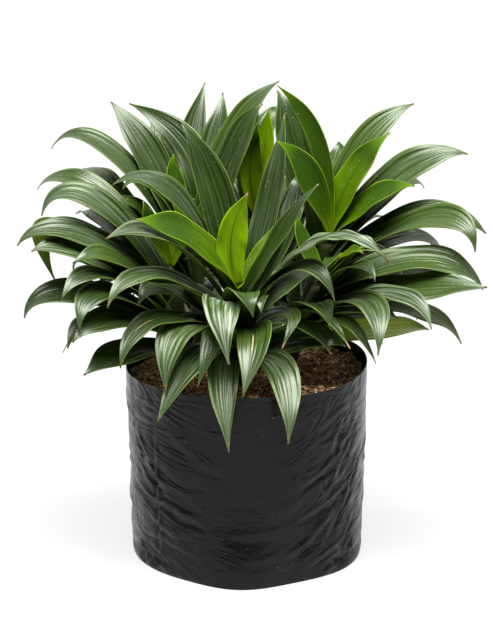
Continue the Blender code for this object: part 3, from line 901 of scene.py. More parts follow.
class Wiring:
    """Short ways to add and wire nodes in one node tree."""

    def __init__(self, tree: bpy.types.NodeTree) -> None:
        """Keeps the tree that the nodes go into."""
        self.tree = tree

    def add(self, kind: str, **settings: Any) -> bpy.types.Node:
        """Adds a node.

        Args:
            kind: its type, without the usual first part.
            settings: its settings by name.

        Returns:
            The node.
        """
        node = self.tree.nodes.new("ShaderNode" + kind)
        for name, value in settings.items():
            setattr(node, name, value)
        return node

    def feed(self, socket: bpy.types.NodeSocket, source: Any) -> None:
        """Gives a socket its value.

        Args:
            socket: the socket.
            source: a number or colour, or another socket to wire to it.
        """
        if isinstance(source, bpy.types.NodeSocket):
            self.tree.links.new(source, socket)
        elif isinstance(source, tuple) and socket.type == "RGBA":
            socket.default_value = (*source, 1.0)
        else:
            socket.default_value = source

    def maths(self, operation: str, *terms: Any, clamp: bool = False) -> Any:
        """A Math node.

        Args:
            operation: what it works out.
            terms: numbers or sockets.
            clamp: whether the result stays within 0 and 1.

        Returns:
            Its result.
        """
        node = self.add("Math", operation=operation, use_clamp=clamp)
        for socket, term in zip(node.inputs, terms):
            self.feed(socket, term)
        return node.outputs[0]

    def times(self, *factors: Any) -> Any:
        """The product of values.

        Args:
            factors: numbers or sockets.

        Returns:
            The product.
        """
        product = factors[-1]
        for factor in reversed(factors[:-1]):
            product = self.maths("MULTIPLY", factor, product)
        return product

    def scaled(self, value: Any, factor: Any, offset: Any) -> Any:
        """A value times a factor, plus an offset."""
        return self.maths("MULTIPLY_ADD", value, factor, offset)

    def less(self, first: Any, second: Any) -> Any:
        """One value less another."""
        return self.maths("SUBTRACT", first, second)

    def away(self, value: Any, centre: float) -> Any:
        """How far a value is from a centre."""
        return self.maths("ABSOLUTE", self.less(value, centre))

    def step(self, value: Any, low: float, high: float) -> Any:
        """A smooth step.

        Args:
            value: what it follows.
            low: where it is 0.
            high: where it is 1.

        Returns:
            The step.
        """
        node = self.add("MapRange", interpolation_type="SMOOTHSTEP")
        for number, term in enumerate((value, low, high, 0.0, 1.0)):
            self.feed(node.inputs[number], term)
        return node.outputs[0]

    def fall(self, value: Any, low: float, high: float) -> Any:
        """A smooth fall from 1 at low to 0 at high."""
        return self.less(1.0, self.step(value, low, high))

    def mix(self, share: Any, first: Any, second: Any) -> Any:
        """A mix of two colours.

        Args:
            share: how much of the second there is.
            first: the first colour.
            second: the second colour.

        Returns:
            The mixed colour.
        """
        node = self.add("Mix", data_type="RGBA")
        for number, term in ((0, share), (6, first), (7, second)):
            self.feed(node.inputs[number], term)
        return node.outputs[2]

    def noise(self, place: Any, scale: Any, detail: float = 3.0, distortion: float = 0.0) -> Any:
        """A noise value.

        Args:
            place: where it is read.
            scale: how fine it is.
            detail: how many finer layers it has.
            distortion: how much it is warped.

        Returns:
            The value, about 0.5.
        """
        node = self.add("TexNoise")
        settings = {"Vector": place, "Scale": scale, "Detail": detail, "Distortion": distortion}
        for name, value in settings.items():
            self.feed(node.inputs[name], value)
        return node.outputs["Fac"]

    def mapped(self, place: Any, title: str, x: float, y: float, z: float) -> Any:
        """A place with its axes changed.

        Args:
            place: the place.
            title: what changes: Scale or Rotation.
            x: the change of X.
            y: the change of Y.
            z: the change of Z.

        Returns:
            The changed place.
        """
        node = self.add("Mapping")
        self.feed(node.inputs["Vector"], place)
        node.inputs[title].default_value = (x, y, z)
        return node.outputs[0]

    def axes(self, place: Any) -> Any:
        """A place's three numbers."""
        node = self.add("SeparateXYZ")
        self.feed(node.inputs[0], place)
        return node.outputs

    def value(self, name: str) -> Any:
        """The number that the mesh holds under a name."""
        return self.add("Attribute", attribute_name=name).outputs["Fac"]

    def here(self) -> Any:
        """The place on the piece, in metres."""
        return self.add("TexCoord").outputs["Object"]

    def blade_noise(self, x: float, y: float, detail: float = 2.0) -> Any:
        """A noise value on a blade, its scales across and along the blade given."""
        return self.noise(self.mapped(self.blade_place(), "Scale", x, y, 1.0), 1.0, detail)

    def blade_place(self) -> Any:
        """The place on a blade, from side to side and from root to tip."""
        return self.add("UVMap", uv_map="blade").outputs[0]

    def bump(self, height: Any, distance: float) -> Any:
        """A normal from a height.

        Args:
            height: the height, in shares of the distance.
            distance: in metres.

        Returns:
            The normal.
        """
        node = self.add("Bump")
        node.inputs["Strength"].default_value = 1.0
        node.inputs["Distance"].default_value = distance
        self.feed(node.inputs["Height"], height)
        return node.outputs[0]


class Effects:
    """Shader node groups that more than one finish uses, each built once."""

    def __init__(self) -> None:
        """Builds the groups."""
        self.veins = self.make_veins()
        self.specks = self.make_specks()
        self.cloud = self.make_cloud()

    def new_group(
        self, name: str, inputs: dict[str, float], outputs: tuple[str, ...]
    ) -> tuple[Wiring, Any, Any]:
        """An empty group with named numbers in and out.

        Args:
            name: the group's name.
            inputs: its inputs' names and first values.
            outputs: its outputs' names.

        Returns:
            Its wiring, the numbers given to it, and the sockets for what it gives.
        """
        tree = bpy.data.node_groups.new(name, "ShaderNodeTree")
        for title, value in inputs.items():
            made = tree.interface.new_socket(title, in_out="INPUT", socket_type="NodeSocketFloat")
            made.default_value = value
        for title in outputs:
            tree.interface.new_socket(title, in_out="OUTPUT", socket_type="NodeSocketFloat")
        given, out = tree.nodes.new("NodeGroupInput"), tree.nodes.new("NodeGroupOutput")
        return Wiring(tree), given.outputs, out.inputs

    def make_veins(self) -> bpy.types.NodeTree:
        """Ribs and fine veins that run along a blade, from its UV map.

        Returns:
            The group.
        """
        w, given, out = self.new_group(
            "leaf_veins",
            {"Ribs": 9.0, "Veins": 41.0, "Midrib": 0.05},
            ("Rib", "Vein", "Midrib", "Margin", "Along", "Side"),
        )
        across, along, _ = w.axes(w.blade_place())
        wander = w.times(w.less(w.blade_noise(3.0, 5.0), 0.5), 0.09)
        shifted = w.maths("ADD", across, wander)
        turns = [w.times(w.times(shifted, given[name]), 2 * math.pi) for name in ("Ribs", "Veins")]
        rib, vein = (w.scaled(w.maths("COSINE", turn), 0.5, 0.5) for turn in turns)
        toward_tip = w.fall(along, 0.6, 0.97)
        from_middle = w.times(w.away(across, 0.5), 2.0)
        middle = w.maths("DIVIDE", from_middle, given["Midrib"])
        results = {
            "Rib": w.times(rib, w.times(w.step(w.blade_noise(9.0, 1.2), 0.25, 0.7), toward_tip)),
            "Vein": w.times(vein, w.blade_noise(30.0, 2.0), toward_tip),
            "Midrib": w.fall(middle, 0.2, 1.0),
            "Margin": w.step(from_middle, 0.94, 0.985),
            "Along": along,
            "Side": across,
        }
        for title, value in results.items():
            w.feed(out[title], value)
        return w.tree

    def make_specks(self) -> bpy.types.NodeTree:
        """Small scattered spots, such as dust or dried drops.

        Returns:
            The group.
        """
        inputs = {"Size": 0.2, "Scale": 300.0, "Cover": 0.5}
        w, given, out = self.new_group("specks", inputs, ("Mask",))
        place = w.here()
        cells = w.add("TexVoronoi")
        w.feed(cells.inputs["Vector"], place)
        w.feed(cells.inputs["Scale"], given["Scale"])
        inside = w.maths("LESS_THAN", cells.outputs["Distance"], given["Size"])
        chance = w.add("SeparateColor")
        w.feed(chance.inputs[0], cells.outputs["Color"])
        few = w.maths("LESS_THAN", chance.outputs[0], given["Cover"])
        patches = w.step(w.noise(place, 28.0, 2.0), 0.4, 0.62)
        w.feed(out["Mask"], w.times(w.times(inside, few), patches))
        return w.tree

    def make_cloud(self) -> bpy.types.NodeTree:
        """Soft uneven tone over a surface, broad and fine together.

        Returns:
            The group.
        """
        w, given, out = self.new_group("cloud", {"Scale": 20.0, "Contrast": 1.0}, ("Value",))
        uneven = w.less(w.noise(w.here(), given["Scale"], 5.0), 0.5)
        spread = w.times(uneven, given["Contrast"])
        w.feed(out["Value"], w.maths("ADD", spread, 0.5, clamp=True))
        return w.tree

    def use(self, wiring: Wiring, group: bpy.types.NodeTree, **inputs: Any) -> Any:
        """Places a group in a material.

        Args:
            wiring: the material's wiring.
            group: the group.
            inputs: its inputs by name.

        Returns:
            The group's outputs.
        """
        node = wiring.add("Group", node_tree=group)
        for name, value in inputs.items():
            wiring.feed(node.inputs[name], value)
        return node.outputs


def new_material(name: str) -> tuple[bpy.types.Material, Wiring, Any]:
    """An empty material, its wiring and its shader's sockets."""
    made = bpy.data.materials.new(name)
    made.use_nodes = True
    return made, Wiring(made.node_tree), made.node_tree.nodes["Principled BSDF"].inputs


# Pale grey-green of the leaves' streaks: partly a waxy bloom, partly a painted satin sheen.
BLOOM_AND_SHEEN_COLOUR = (0.4, 0.47, 0.34)
SCAR_COLOUR = (0.5, 0.38, 0.16)
DRY_COLOUR = (0.32, 0.19, 0.09)
DUST_COLOUR = (0.5, 0.55, 0.48)
LEAF_GLEAM = (0.93, 1.0, 0.84, 1.0)


@dataclass(frozen=True)
class LeafFinish:
    """One face of a blade: ribbed, satin, with marks where its leaf has them, and painted shade in
    its rib grooves and fold and, on mature leaves, towards the root.
    """

    name: str
    deep: Colour
    fresh: Colour
    rib: Colour
    margin: Colour
    # The colour towards the root: painted shade on mature leaves, their own yellow-green base on
    # young ones.
    root: Colour
    midrib: Colour
    tip: Colour
    ripe: Colour
    # How strong the ribs' lighter tint is, and the painted shade in the grooves between them.
    rib_and_groove_shade_share: float
    margin_share: float
    bloom_and_sheen_share: float
    roughness: float
    shine: float
    bump: float  # in metres
    fold_shade_share: float = 0.0  # how dark painted shade makes the fold along the middle, towards the root
    shaded_or_pale_root_reach: float = 0.25  # how far along the blade its root colour shows: painted shade on mature leaves, a yellow-green base on young ones
    tip_from: float = 0.7

    def material(self, effects: Effects) -> bpy.types.Material:
        """Builds the material.

        Args:
            effects: the shared node groups.

        Returns:
            The material.
        """
        made, w, shader = new_material(self.name)
        veins = effects.use(w, effects.veins)
        along = veins["Along"]
        patches = effects.use(w, effects.cloud, Scale=26.0, Contrast=1.5)["Value"]
        streaky = w.blade_noise(9.0, 2.0, 3.0)
        shade = w.scaled(patches, 0.5, w.times(w.value("tone"), 0.6))
        # Painted shade in the fold along the midrib, towards the root.
        crease = w.times(w.fall(w.away(veins["Side"], 0.5), 0.0, 0.2), w.fall(along, 0.1, 0.75))
        # Pale streaks: partly a waxy bloom, partly a painted satin sheen.
        bloom_and_sheen = w.times(w.value("bloom_and_sheen"), w.step(streaky, 0.42, 0.7))
        ragged = w.scaled(w.noise(w.here(), 320.0), 0.06, along)
        dust = effects.use(w, effects.specks, Size=0.12, Scale=340.0, Cover=0.35)["Mask"]
        layers = (
            (self.ripe, w.step(w.scaled(w.value("ripe"), 1.2, along), 0.95, 1.35), 1.0),
            (self.rib, w.times(veins["Rib"], w.step(streaky, 0.25, 0.65)), self.rib_and_groove_shade_share),
            # Painted shade in the grooves between the ribs.
            (self.deep, w.fall(veins["Rib"], 0.0, 0.35), self.rib_and_groove_shade_share),
            (self.rib, veins["Vein"], 0.45 * self.rib_and_groove_shade_share),
            (self.midrib, veins["Midrib"], 0.75),
            (self.tip, w.step(along, self.tip_from, 1.0), 1.0),
            # Painted shade in the fold.
            (self.midrib, crease, self.fold_shade_share),
            # Towards the root: painted shade on mature leaves, a yellow-green base on young ones.
            (self.root, w.fall(along, 0.02, self.shaded_or_pale_root_reach), 0.9),
            (BLOOM_AND_SHEEN_COLOUR, bloom_and_sheen, self.bloom_and_sheen_share),
            (self.margin, veins["Margin"], self.margin_share),
            (SCAR_COLOUR, self.scar(w, veins), 1.0),
            (DRY_COLOUR, w.times(w.value("dry"), w.step(ragged, 0.97, 1.01)), 1.0),
            (DUST_COLOUR, dust, 0.5),
        )
        colour = w.mix(w.step(shade, 0.1, 0.85), self.deep, self.fresh)
        for layer, mask, share in layers:
            colour = w.mix(mask if share == 1.0 else w.times(mask, share), colour, layer)
        w.feed(shader["Base Color"], colour)
        rough = w.scaled(bloom_and_sheen, 0.08, w.scaled(patches, 0.16, self.roughness - 0.08))
        w.feed(shader["Roughness"], w.scaled(dust, 0.3, rough))
        shader["Specular IOR Level"].default_value = self.shine
        shader["Specular Tint"].default_value = LEAF_GLEAM
        height = w.scaled(veins["Midrib"], -0.8, w.scaled(veins["Vein"], 0.1, veins["Rib"]))
        w.feed(shader["Normal"], w.bump(height, self.bump))
        return made

    def scar(self, w: Wiring, veins: Any) -> Any:
        """The mask of the tan scar that some leaves carry beside the midrib."""
        thin = w.fall(w.away(veins["Side"], 0.54), 0.008, 0.026)
        begins, ends = w.step(veins["Along"], 0.5, 0.56), w.fall(veins["Along"], 0.68, 0.74)
        return w.times(w.times(thin, begins, ends), w.value("streak"))


MATURE_TOP = LeafFinish(
    "mature_leaf_upper",
    deep=(0.007, 0.018, 0.001),
    fresh=(0.032, 0.064, 0.002),
    rib=(0.085, 0.155, 0.02),
    margin=(0.17, 0.26, 0.03),
    # Painted shade towards the root.
    root=(0.008, 0.021, 0.0008),
    midrib=(0.008, 0.022, 0.003),
    tip=(0.025, 0.055, 0.01),
    ripe=(0.11, 0.16, 0.004),
    rib_and_groove_shade_share=0.36,
    margin_share=0.7,
    bloom_and_sheen_share=0.35,
    roughness=0.33,
    shine=0.5,
    bump=0.00018,
    fold_shade_share=0.3,
    shaded_or_pale_root_reach=0.6,
)
MATURE_UNDER = LeafFinish(
    "mature_leaf_under",
    deep=(0.035, 0.075, 0.004),
    fresh=(0.085, 0.15, 0.007),
    rib=(0.12, 0.2, 0.015),
    margin=(0.2, 0.3, 0.03),
    # Painted shade towards the root.
    root=(0.02, 0.045, 0.004),
    midrib=(0.11, 0.19, 0.015),
    tip=(0.06, 0.12, 0.008),
    ripe=(0.16, 0.22, 0.004),
    rib_and_groove_shade_share=0.4,
    margin_share=0.5,
    bloom_and_sheen_share=0.1,
    roughness=0.45,
    shine=0.25,
    bump=0.0002,
    shaded_or_pale_root_reach=0.55,
)
YOUNG_TOP = LeafFinish(
    "young_leaf_upper",
    deep=(0.04, 0.088, 0.0006),
    fresh=(0.19, 0.34, 0.0006),
    rib=(0.22, 0.38, 0.001),
    margin=(0.34, 0.5, 0.012),
    root=(0.12, 0.2, 0.002),
    midrib=(0.03, 0.075, 0.0008),
    tip=(0.07, 0.15, 0.001),
    ripe=(0.02, 0.052, 0.003),
    rib_and_groove_shade_share=0.12,
    margin_share=0.55,
    bloom_and_sheen_share=0.05,
    roughness=0.4,
    shine=0.1,
    bump=0.00012,
    fold_shade_share=0.7,
    tip_from=0.75,
)
YOUNG_UNDER = LeafFinish(
    "young_leaf_under",
    deep=(0.045, 0.095, 0.001),
    fresh=(0.15, 0.26, 0.002),
    rib=(0.17, 0.28, 0.006),
    margin=(0.3, 0.44, 0.02),
    root=(0.18, 0.28, 0.02),
    midrib=(0.1, 0.18, 0.003),
    tip=(0.08, 0.16, 0.002),
    ripe=(0.022, 0.058, 0.005),
    rib_and_groove_shade_share=0.2,
    margin_share=0.4,
    bloom_and_sheen_share=0.05,
    roughness=0.45,
    shine=0.2,
    bump=0.00015,
    tip_from=0.6,
)


@dataclass(frozen=True)
class ShadedStemFinish:
    """The green stem with its tan leaf scars, both darkened as painted shade inside the rosette.
    """

    # Colours kept near black as painted shade, for the stems stand deep among the leaves.
    dark: Colour = (0.012, 0.022, 0.004)
    green: Colour = (0.035, 0.045, 0.01)
    scar: Colour = (0.035, 0.024, 0.012)
    scar_pitch: float = 0.006  # in metres

    def material(self, effects: Effects) -> bpy.types.Material:
        """Builds the material.

        Args:
            effects: the shared node groups.

        Returns:
            The material.
        """
        made, w, shader = new_material("stem")
        rings = w.maths("SINE", w.times(w.axes(w.here())[2], 2 * math.pi / self.scar_pitch))
        patches = effects.use(w, effects.cloud, Scale=90.0, Contrast=1.4)["Value"]
        colour = w.mix(patches, self.dark, self.green)
        w.feed(shader["Base Color"], w.mix(w.step(rings, 0.6, 1.0), colour, self.scar))
        w.feed(shader["Roughness"], w.scaled(patches, 0.2, 0.6))
        shader["Specular IOR Level"].default_value = 0.15
        w.feed(shader["Normal"], w.bump(w.noise(w.here(), 500.0), 0.0003))
        return made


@dataclass(frozen=True)
class FilmFinish:
    """Thin black plastic film, satin, faintly crinkled and dusty."""

    black: Colour = (0.003, 0.003, 0.004)
    worn: Colour = (0.007, 0.007, 0.009)
    dust: Colour = (0.25, 0.25, 0.25)
    roughness: float = 0.27
    shine: float = 0.22
    left_lean: float = -18.0  # degrees that the creases lean on either side
    right_lean: float = 34.0
    bump: float = 0.0026  # in metres

    def material(self, effects: Effects) -> bpy.types.Material:
        """Builds the material.

        Args:
            effects: the shared node groups.

        Returns:
            The material.
        """
        made, w, shader = new_material("film")
        here = w.here()
        patches = effects.use(w, effects.cloud, Scale=14.0, Contrast=1.6)["Value"]
        dust = effects.use(w, effects.specks, Size=0.14, Scale=240.0, Cover=0.06)["Mask"]
        colour = w.mix(patches, self.black, self.worn)
        w.feed(shader["Base Color"], w.mix(w.times(dust, 0.4), colour, self.dust))
        rough = w.scaled(patches, 0.18, self.roughness - 0.09)
        w.feed(shader["Roughness"], w.scaled(dust, 0.3, rough))
        sideways = w.axes(here)[0]
        calm = w.scaled(w.step(w.maths("ABSOLUTE", sideways), 0.015, 0.075), 0.8, 0.2)
        left, right = self.folds(w, here, self.left_lean), self.folds(w, here, self.right_lean)
        folds = w.scaled(w.less(right, left), w.step(sideways, -0.02, 0.03), left)
        fine = w.noise(w.mapped(here, "Scale", 1.0, 1.0, 2.4), 150.0)
        broad = w.noise(w.mapped(here, "Scale", 1.0, 1.0, 0.5), 20.0, 2.0)
        height = w.scaled(broad, 1.3, w.scaled(fine, 0.1, w.times(folds, calm)))
        w.feed(shader["Normal"], w.bump(height, self.bump))
        shader["Specular IOR Level"].default_value = self.shine
        return made

    def folds(self, w: Wiring, here: Any, lean: float) -> Any:
        """Sharp small creases.

        Args:
            w: the material's wiring.
            here: the place on the film.
            lean: the angle that they lean by, in degrees.

        Returns:
            Their height, 0 to 1.
        """
        turned = w.mapped(here, "Rotation", 0.0, math.radians(lean), 0.0)
        value = w.noise(w.mapped(turned, "Scale", 0.34, 0.34, 1.0), 62.0, distortion=0.8)
        return w.maths("ABSOLUTE", w.scaled(value, 2.0, -1.0))


@dataclass(frozen=True)
class SoilFinish:
    """Coir and peat: near black when moist, with tan chips and fibres."""

    dark: Colour = (0.02, 0.011, 0.005)
    brown: Colour = (0.36, 0.175, 0.07)
    tan: Colour = (0.8, 0.5, 0.28)
    bump: float = 0.0022  # in metres

    def material(self, effects: Effects) -> bpy.types.Material:
        """Builds the material.

        Args:
            effects: the shared node groups.

        Returns:
            The material.
        """
        made, w, shader = new_material("soil")
        patches = effects.use(w, effects.cloud, Scale=300.0, Contrast=3.2)["Value"]
        mixed = w.scaled(patches, 0.5, w.times(w.value("tone"), 0.8))
        colour = w.mix(w.step(mixed, 0.28, 0.66), self.dark, self.brown)
        w.feed(shader["Base Color"], w.mix(w.step(mixed, 0.6, 1.0), colour, self.tan))
        w.feed(shader["Roughness"], w.scaled(patches, 0.15, 0.8))
        shader["Specular IOR Level"].default_value = 0.3
        w.feed(shader["Normal"], w.bump(w.noise(w.here(), 420.0, 5.0), self.bump))
        return made


# Sub-assemblies


def hand_over(piece: bpy.types.Object, slot: str, *nodes: str) -> bpy.types.Object:
    """Makes a finished piece ride on the part and stand for CAD nodes.

    Args:
        piece: the piece.
        slot: not used.
        nodes: the CAD nodes that it replaces.

    Returns:
        The piece.
    """
    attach(piece, BODY)
    if nodes:
        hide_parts(*nodes)
    return piece


@dataclass(frozen=True)
class BladeForm:
    """A master blade: its width is -1 to 1 across, its length 0 to 1."""

    name: str
    columns: int
    rows: int
    pleats: int
    pleat_height: float  # as a share of the half width
    tip_slimness: float
    slim_from: float = 0.72
    slim_power: float = 1.5
    pleat_rise: float = 1.6  # how soon the pleats reach their height
    pleat_start: float = 0.12
    near: float = 1e-3

    def model(self, growth: Growth) -> bpy.types.Object:
        """Models the blade flat: a pleated sheet, pulled in to its outline.

        Args:
            growth: gives the outline.

        Returns:
            The master.
        """
        deselect_all()
        bpy.ops.mesh.primitive_grid_add(
            x_subdivisions=self.columns, y_subdivisions=self.rows, size=2.0
        )
        master = named(self.name)
        master.data.uv_layers[0].name = "blade"
        bpy.ops.object.mode_set(mode="EDIT")
        bpy.ops.mesh.select_all(action="SELECT")
        bpy.ops.transform.translate(value=(0.0, 1.0, 0.0))
        bpy.ops.transform.resize(value=(1.0, 0.5, 1.0), center_override=(0.0, 0.0, 0.0))
        for column in self.levels(0):
            height = self.pleat_height * math.cos(math.pi * self.pleats * column)
            if select_points(lambda place: abs(place.x - column) < self.near):
                bpy.ops.transform.translate(value=(0.0, 0.0, height))
        for row in self.levels(1):
            past = max(0.0, (row - self.slim_from) / (1.0 - self.slim_from))
            share = growth.outline(row) * (1.0 - self.tip_slimness * past**self.slim_power)
            swell = math.sin(math.pi * min(row + self.pleat_start, 1.0 - self.near))
            if select_points(lambda place: abs(place.y - row) < self.near):
                bpy.ops.transform.resize(
                    value=(share, 1.0, min(1.0, self.pleat_rise * swell)),
                    center_override=(0.0, row, 0.0),
                )
        bpy.ops.object.mode_set(mode="OBJECT")
        return master

    def levels(self, axis: int) -> list[float]:
        """Where the points of the mesh in edit mode lie along an axis."""
        shape = bmesh.from_edit_mesh(bpy.context.edit_object.data)
        return sorted({round(vertex.co[axis], 4) for vertex in shape.verts})


@dataclass(frozen=True)
class Foliage:
    """Seven shoots of leaves, with the young leaves of another colour at their hearts."""

    growth: Growth = Growth()
    mature: BladeForm = BladeForm("mature_blade", 30, 34, 5, 0.02, 0.3)
    young: BladeForm = BladeForm("young_blade", 20, 30, 2, 0.014, 0.35)
    thickness: float = 0.7
    pleat_range: tuple[float, float] = (0.5, 1.1)
    fold_sharpness: float = 0.45  # 1 for a straight fold, 0 for a round one
    margin_wave: float = 0.11
    wave_turns: tuple[float, float] = (1.2, 2.6)
    wave_at_root: float = 0.4
    crinkle_height: float = 1.2
    crinkle_turns: float = 34.0
    crinkle_slant: float = 5.0
    twist: float = 11.0
    twist_from: float = 0.35
    tip_curl: float = 6.0
    curl_from: float = 0.8
    dry_tips: tuple[float, ...] = (0.1, 0.1, 0.8)
    # How strong each leaf's pale streaks of bloom and painted sheen are.
    bloom_and_sheen_range: tuple[float, float] = (0.6, 1.0)
    stem_sides: int = 20
    stem_rings: int = 30
    ring_depth: float = 0.35
    seed: int = 27
    seed_step: int = 100

    def build(self, effects: Effects) -> list[bpy.types.Object]:
        """Builds a piece for each node of leaves, and one for each stem.

        Args:
            effects: the shared node groups.

        Returns:
            The pieces.
        """
        masters = {
            Kind.MATURE: (self.mature.model(self.growth), (MATURE_TOP, MATURE_UNDER)),
            Kind.YOUNG: (self.young.model(self.growth), (YOUNG_TOP, YOUNG_UNDER)),
        }
        shaded_stem_finish = ShadedStemFinish().material(effects)
        placed = self.growth.place([node_tree_of("grow_bag"), node_tree_of("potting_soil")])
        pieces = []
        for kind, (master, faces) in masters.items():
            finishes = [face.material(effects) for face in faces]
            for number, shoot in enumerate(SHOOTS):
                node, slot = kind.node(shoot), kind.value[1]
                draw = random.Random(self.seed + self.seed_step * number)
                blades = [self.blade(master, kind, *job, draw) for job in placed[node]]
                piece = joined("leaves_" + node, blades)
                for finish in finishes:
                    piece.data.materials.append(finish)
                apply_modifier(
                    piece,
                    "SOLIDIFY",
                    thickness=self.thickness * MM,
                    offset=-1.0,
                    material_offset=1,
                    material_offset_rim=0,
                )
                piece.data.shade_smooth()
                pieces.append(hand_over(piece, slot, node))
                if kind is Kind.MATURE:
                    stem = self.stem(shoot)
                    stem.data.materials.append(shaded_stem_finish)
                    pieces.append(hand_over(stem, slot))
            bpy.data.objects.remove(master, do_unlink=True)
        return pieces

    def blade(
        self,
        master: bpy.types.Object,
        kind: Kind,
        shoot: Shoot,
        leaf: Leaf,
        row: int,
        draw: random.Random,
    ) -> bpy.types.Object:
        """A copy of the master, bent along its leaf's arch.

        Args:
            master: the flat master.
            kind: the leaf's kind.
            shoot: its shoot.
            leaf: the leaf as placed.
            row: its row's number, or -1.
            draw: the source of its small differences.

        Returns:
            The blade in place.
        """
        node = kind.node(shoot)
        streak, dry, bloom_and_sheen, crinkle = mark_of(node, row).value
        flat = places_of(master.data)
        levels, row_of = np.unique(np.round(flat[:, 1], 4), return_inverse=True)
        found = self.growth.stations_of(shoot, leaf, levels.tolist())
        middle, side, normal = (np.array([s[n] for s in found])[row_of] for n in range(3))
        along = levels[row_of]
        outline = np.array([self.growth.outline(level) for level in levels])[row_of]
        fold = np.array([self.growth.fold(level) for level in levels])[row_of]
        half = 0.5 * leaf.width
        share = flat[:, 0] / outline
        height = flat[:, 2] * half * draw.uniform(*self.pleat_range)
        sharp, round_part = self.fold_sharpness, 1.0 - self.fold_sharpness
        height += half * outline * fold * (sharp * np.abs(share) + round_part * share**2)
        turns = draw.uniform(*self.wave_turns)
        for sign in (-1.0, 1.0):
            phase = draw.uniform(0.0, 2 * math.pi)
            wave = np.sin(2 * math.pi * turns * along + phase) * np.clip(sign * share, 0, 1) ** 2
            height += self.margin_wave * half * outline * wave * (self.wave_at_root + along)
        if crinkle:
            phase = draw.uniform(0.0, 2 * math.pi)
            wave = np.sin(self.crinkle_turns * along + self.crinkle_slant * share + phase)
            height += crinkle * self.crinkle_height * wave * np.abs(share)
        twist = math.radians(draw.uniform(-self.twist, self.twist)) * (along - self.twist_from)
        curl = np.clip((along - self.curl_from) / (1.0 - self.curl_from), 0, 1) ** 2
        height = height - draw.uniform(0.0, self.tip_curl) * curl
        across = flat[:, 0] * half + draw.uniform(-0.5, 0.5) * self.tip_curl * curl
        level = height * np.cos(twist) + across * np.sin(twist)
        across = across * np.cos(twist) - height * np.sin(twist)
        copy = linked(f"{node}_blade", master.data.copy())
        set_places(copy.data, (middle + side * across[:, None] + normal * level[:, None]) * MM)
        values = {
            "tone": LEAF_TONES_AND_SHADE.get(node, {}).get(row, draw.uniform(0.0, 1.0)),
            "ripe": RIPENESS.get(node, {}).get(row, kind.value[2]),
            "streak": streak,
            "dry": dry if row >= 0 else draw.choice(self.dry_tips),
            "bloom_and_sheen": bloom_and_sheen * draw.uniform(*self.bloom_and_sheen_range),
        }
        for name, value in values.items():
            set_value(copy.data, name, value)
        return copy

    def stem(self, shoot: Shoot) -> bpy.types.Object:
        """The shoot's upright stem, ringed where leaves have been.

        Args:
            shoot: the shoot.

        Returns:
            The stem in place.
        """
        growth = self.growth
        stem = unit_cylinder("stem_" + shoot.name, self.stem_sides, fill="TRIFAN")
        bpy.ops.object.mode_set(mode="EDIT")
        cut_upright_edges(self.stem_rings - 1)
        bpy.ops.object.mode_set(mode="OBJECT")
        places = places_of(stem.data)
        share = places[:, 2].copy()
        low = SOIL_TOP - growth.rooting_depth
        levels = low + (shoot.crown[2] - low) * share
        radius = growth.foot_radius + (growth.crown_radius - growth.foot_radius) * share
        radius = radius - self.ring_depth * (np.round(share * self.stem_rings) % 2)
        axis = np.array([growth.axis_point(shoot, level) for level in levels])
        places[:, :2] = axis[:, :2] + places[:, :2] * radius[:, None]
        places[:, 2] = levels
        set_places(stem.data, places * MM)
        stem.data.shade_smooth()
        return stem


@dataclass(frozen=True)
class Crease:
    """A fold of the film, unrolled: millimetres right of the front's middle, and up."""

    right: float
    up: float
    reach: float
    lean: float
    depth: float
    width: float
    ridge: float = 0.8  # how high the ridge beside it is, as a share of its depth
    ridge_at: float = 1.5  # how far away the ridge is, in widths
    taper: float = 1.5

    def depth_at(self, right: np.ndarray, up: np.ndarray, around: float) -> np.ndarray:
        """How far the film stands out at places.

        Args:
            right: places' distance right of the front's middle.
            up: places' height.
            around: the length once round the bag.

        Returns:
            Millimetres outwards.
        """
        turn = math.radians(self.lean)
        off = (right - self.right + around / 2) % around - around / 2
        along = off * math.cos(turn) + (up - self.up) * math.sin(turn)
        across = (up - self.up) * math.cos(turn) - off * math.sin(turn)
        taper = np.clip(1.0 - (along / self.reach) ** 2, 0.0, None) ** self.taper
        step = across / self.width
        valley = np.exp(-(step**2))
        ridge = self.ridge * np.exp(-((step - self.ridge_at) ** 2))
        return self.depth * taper * (ridge - valley)


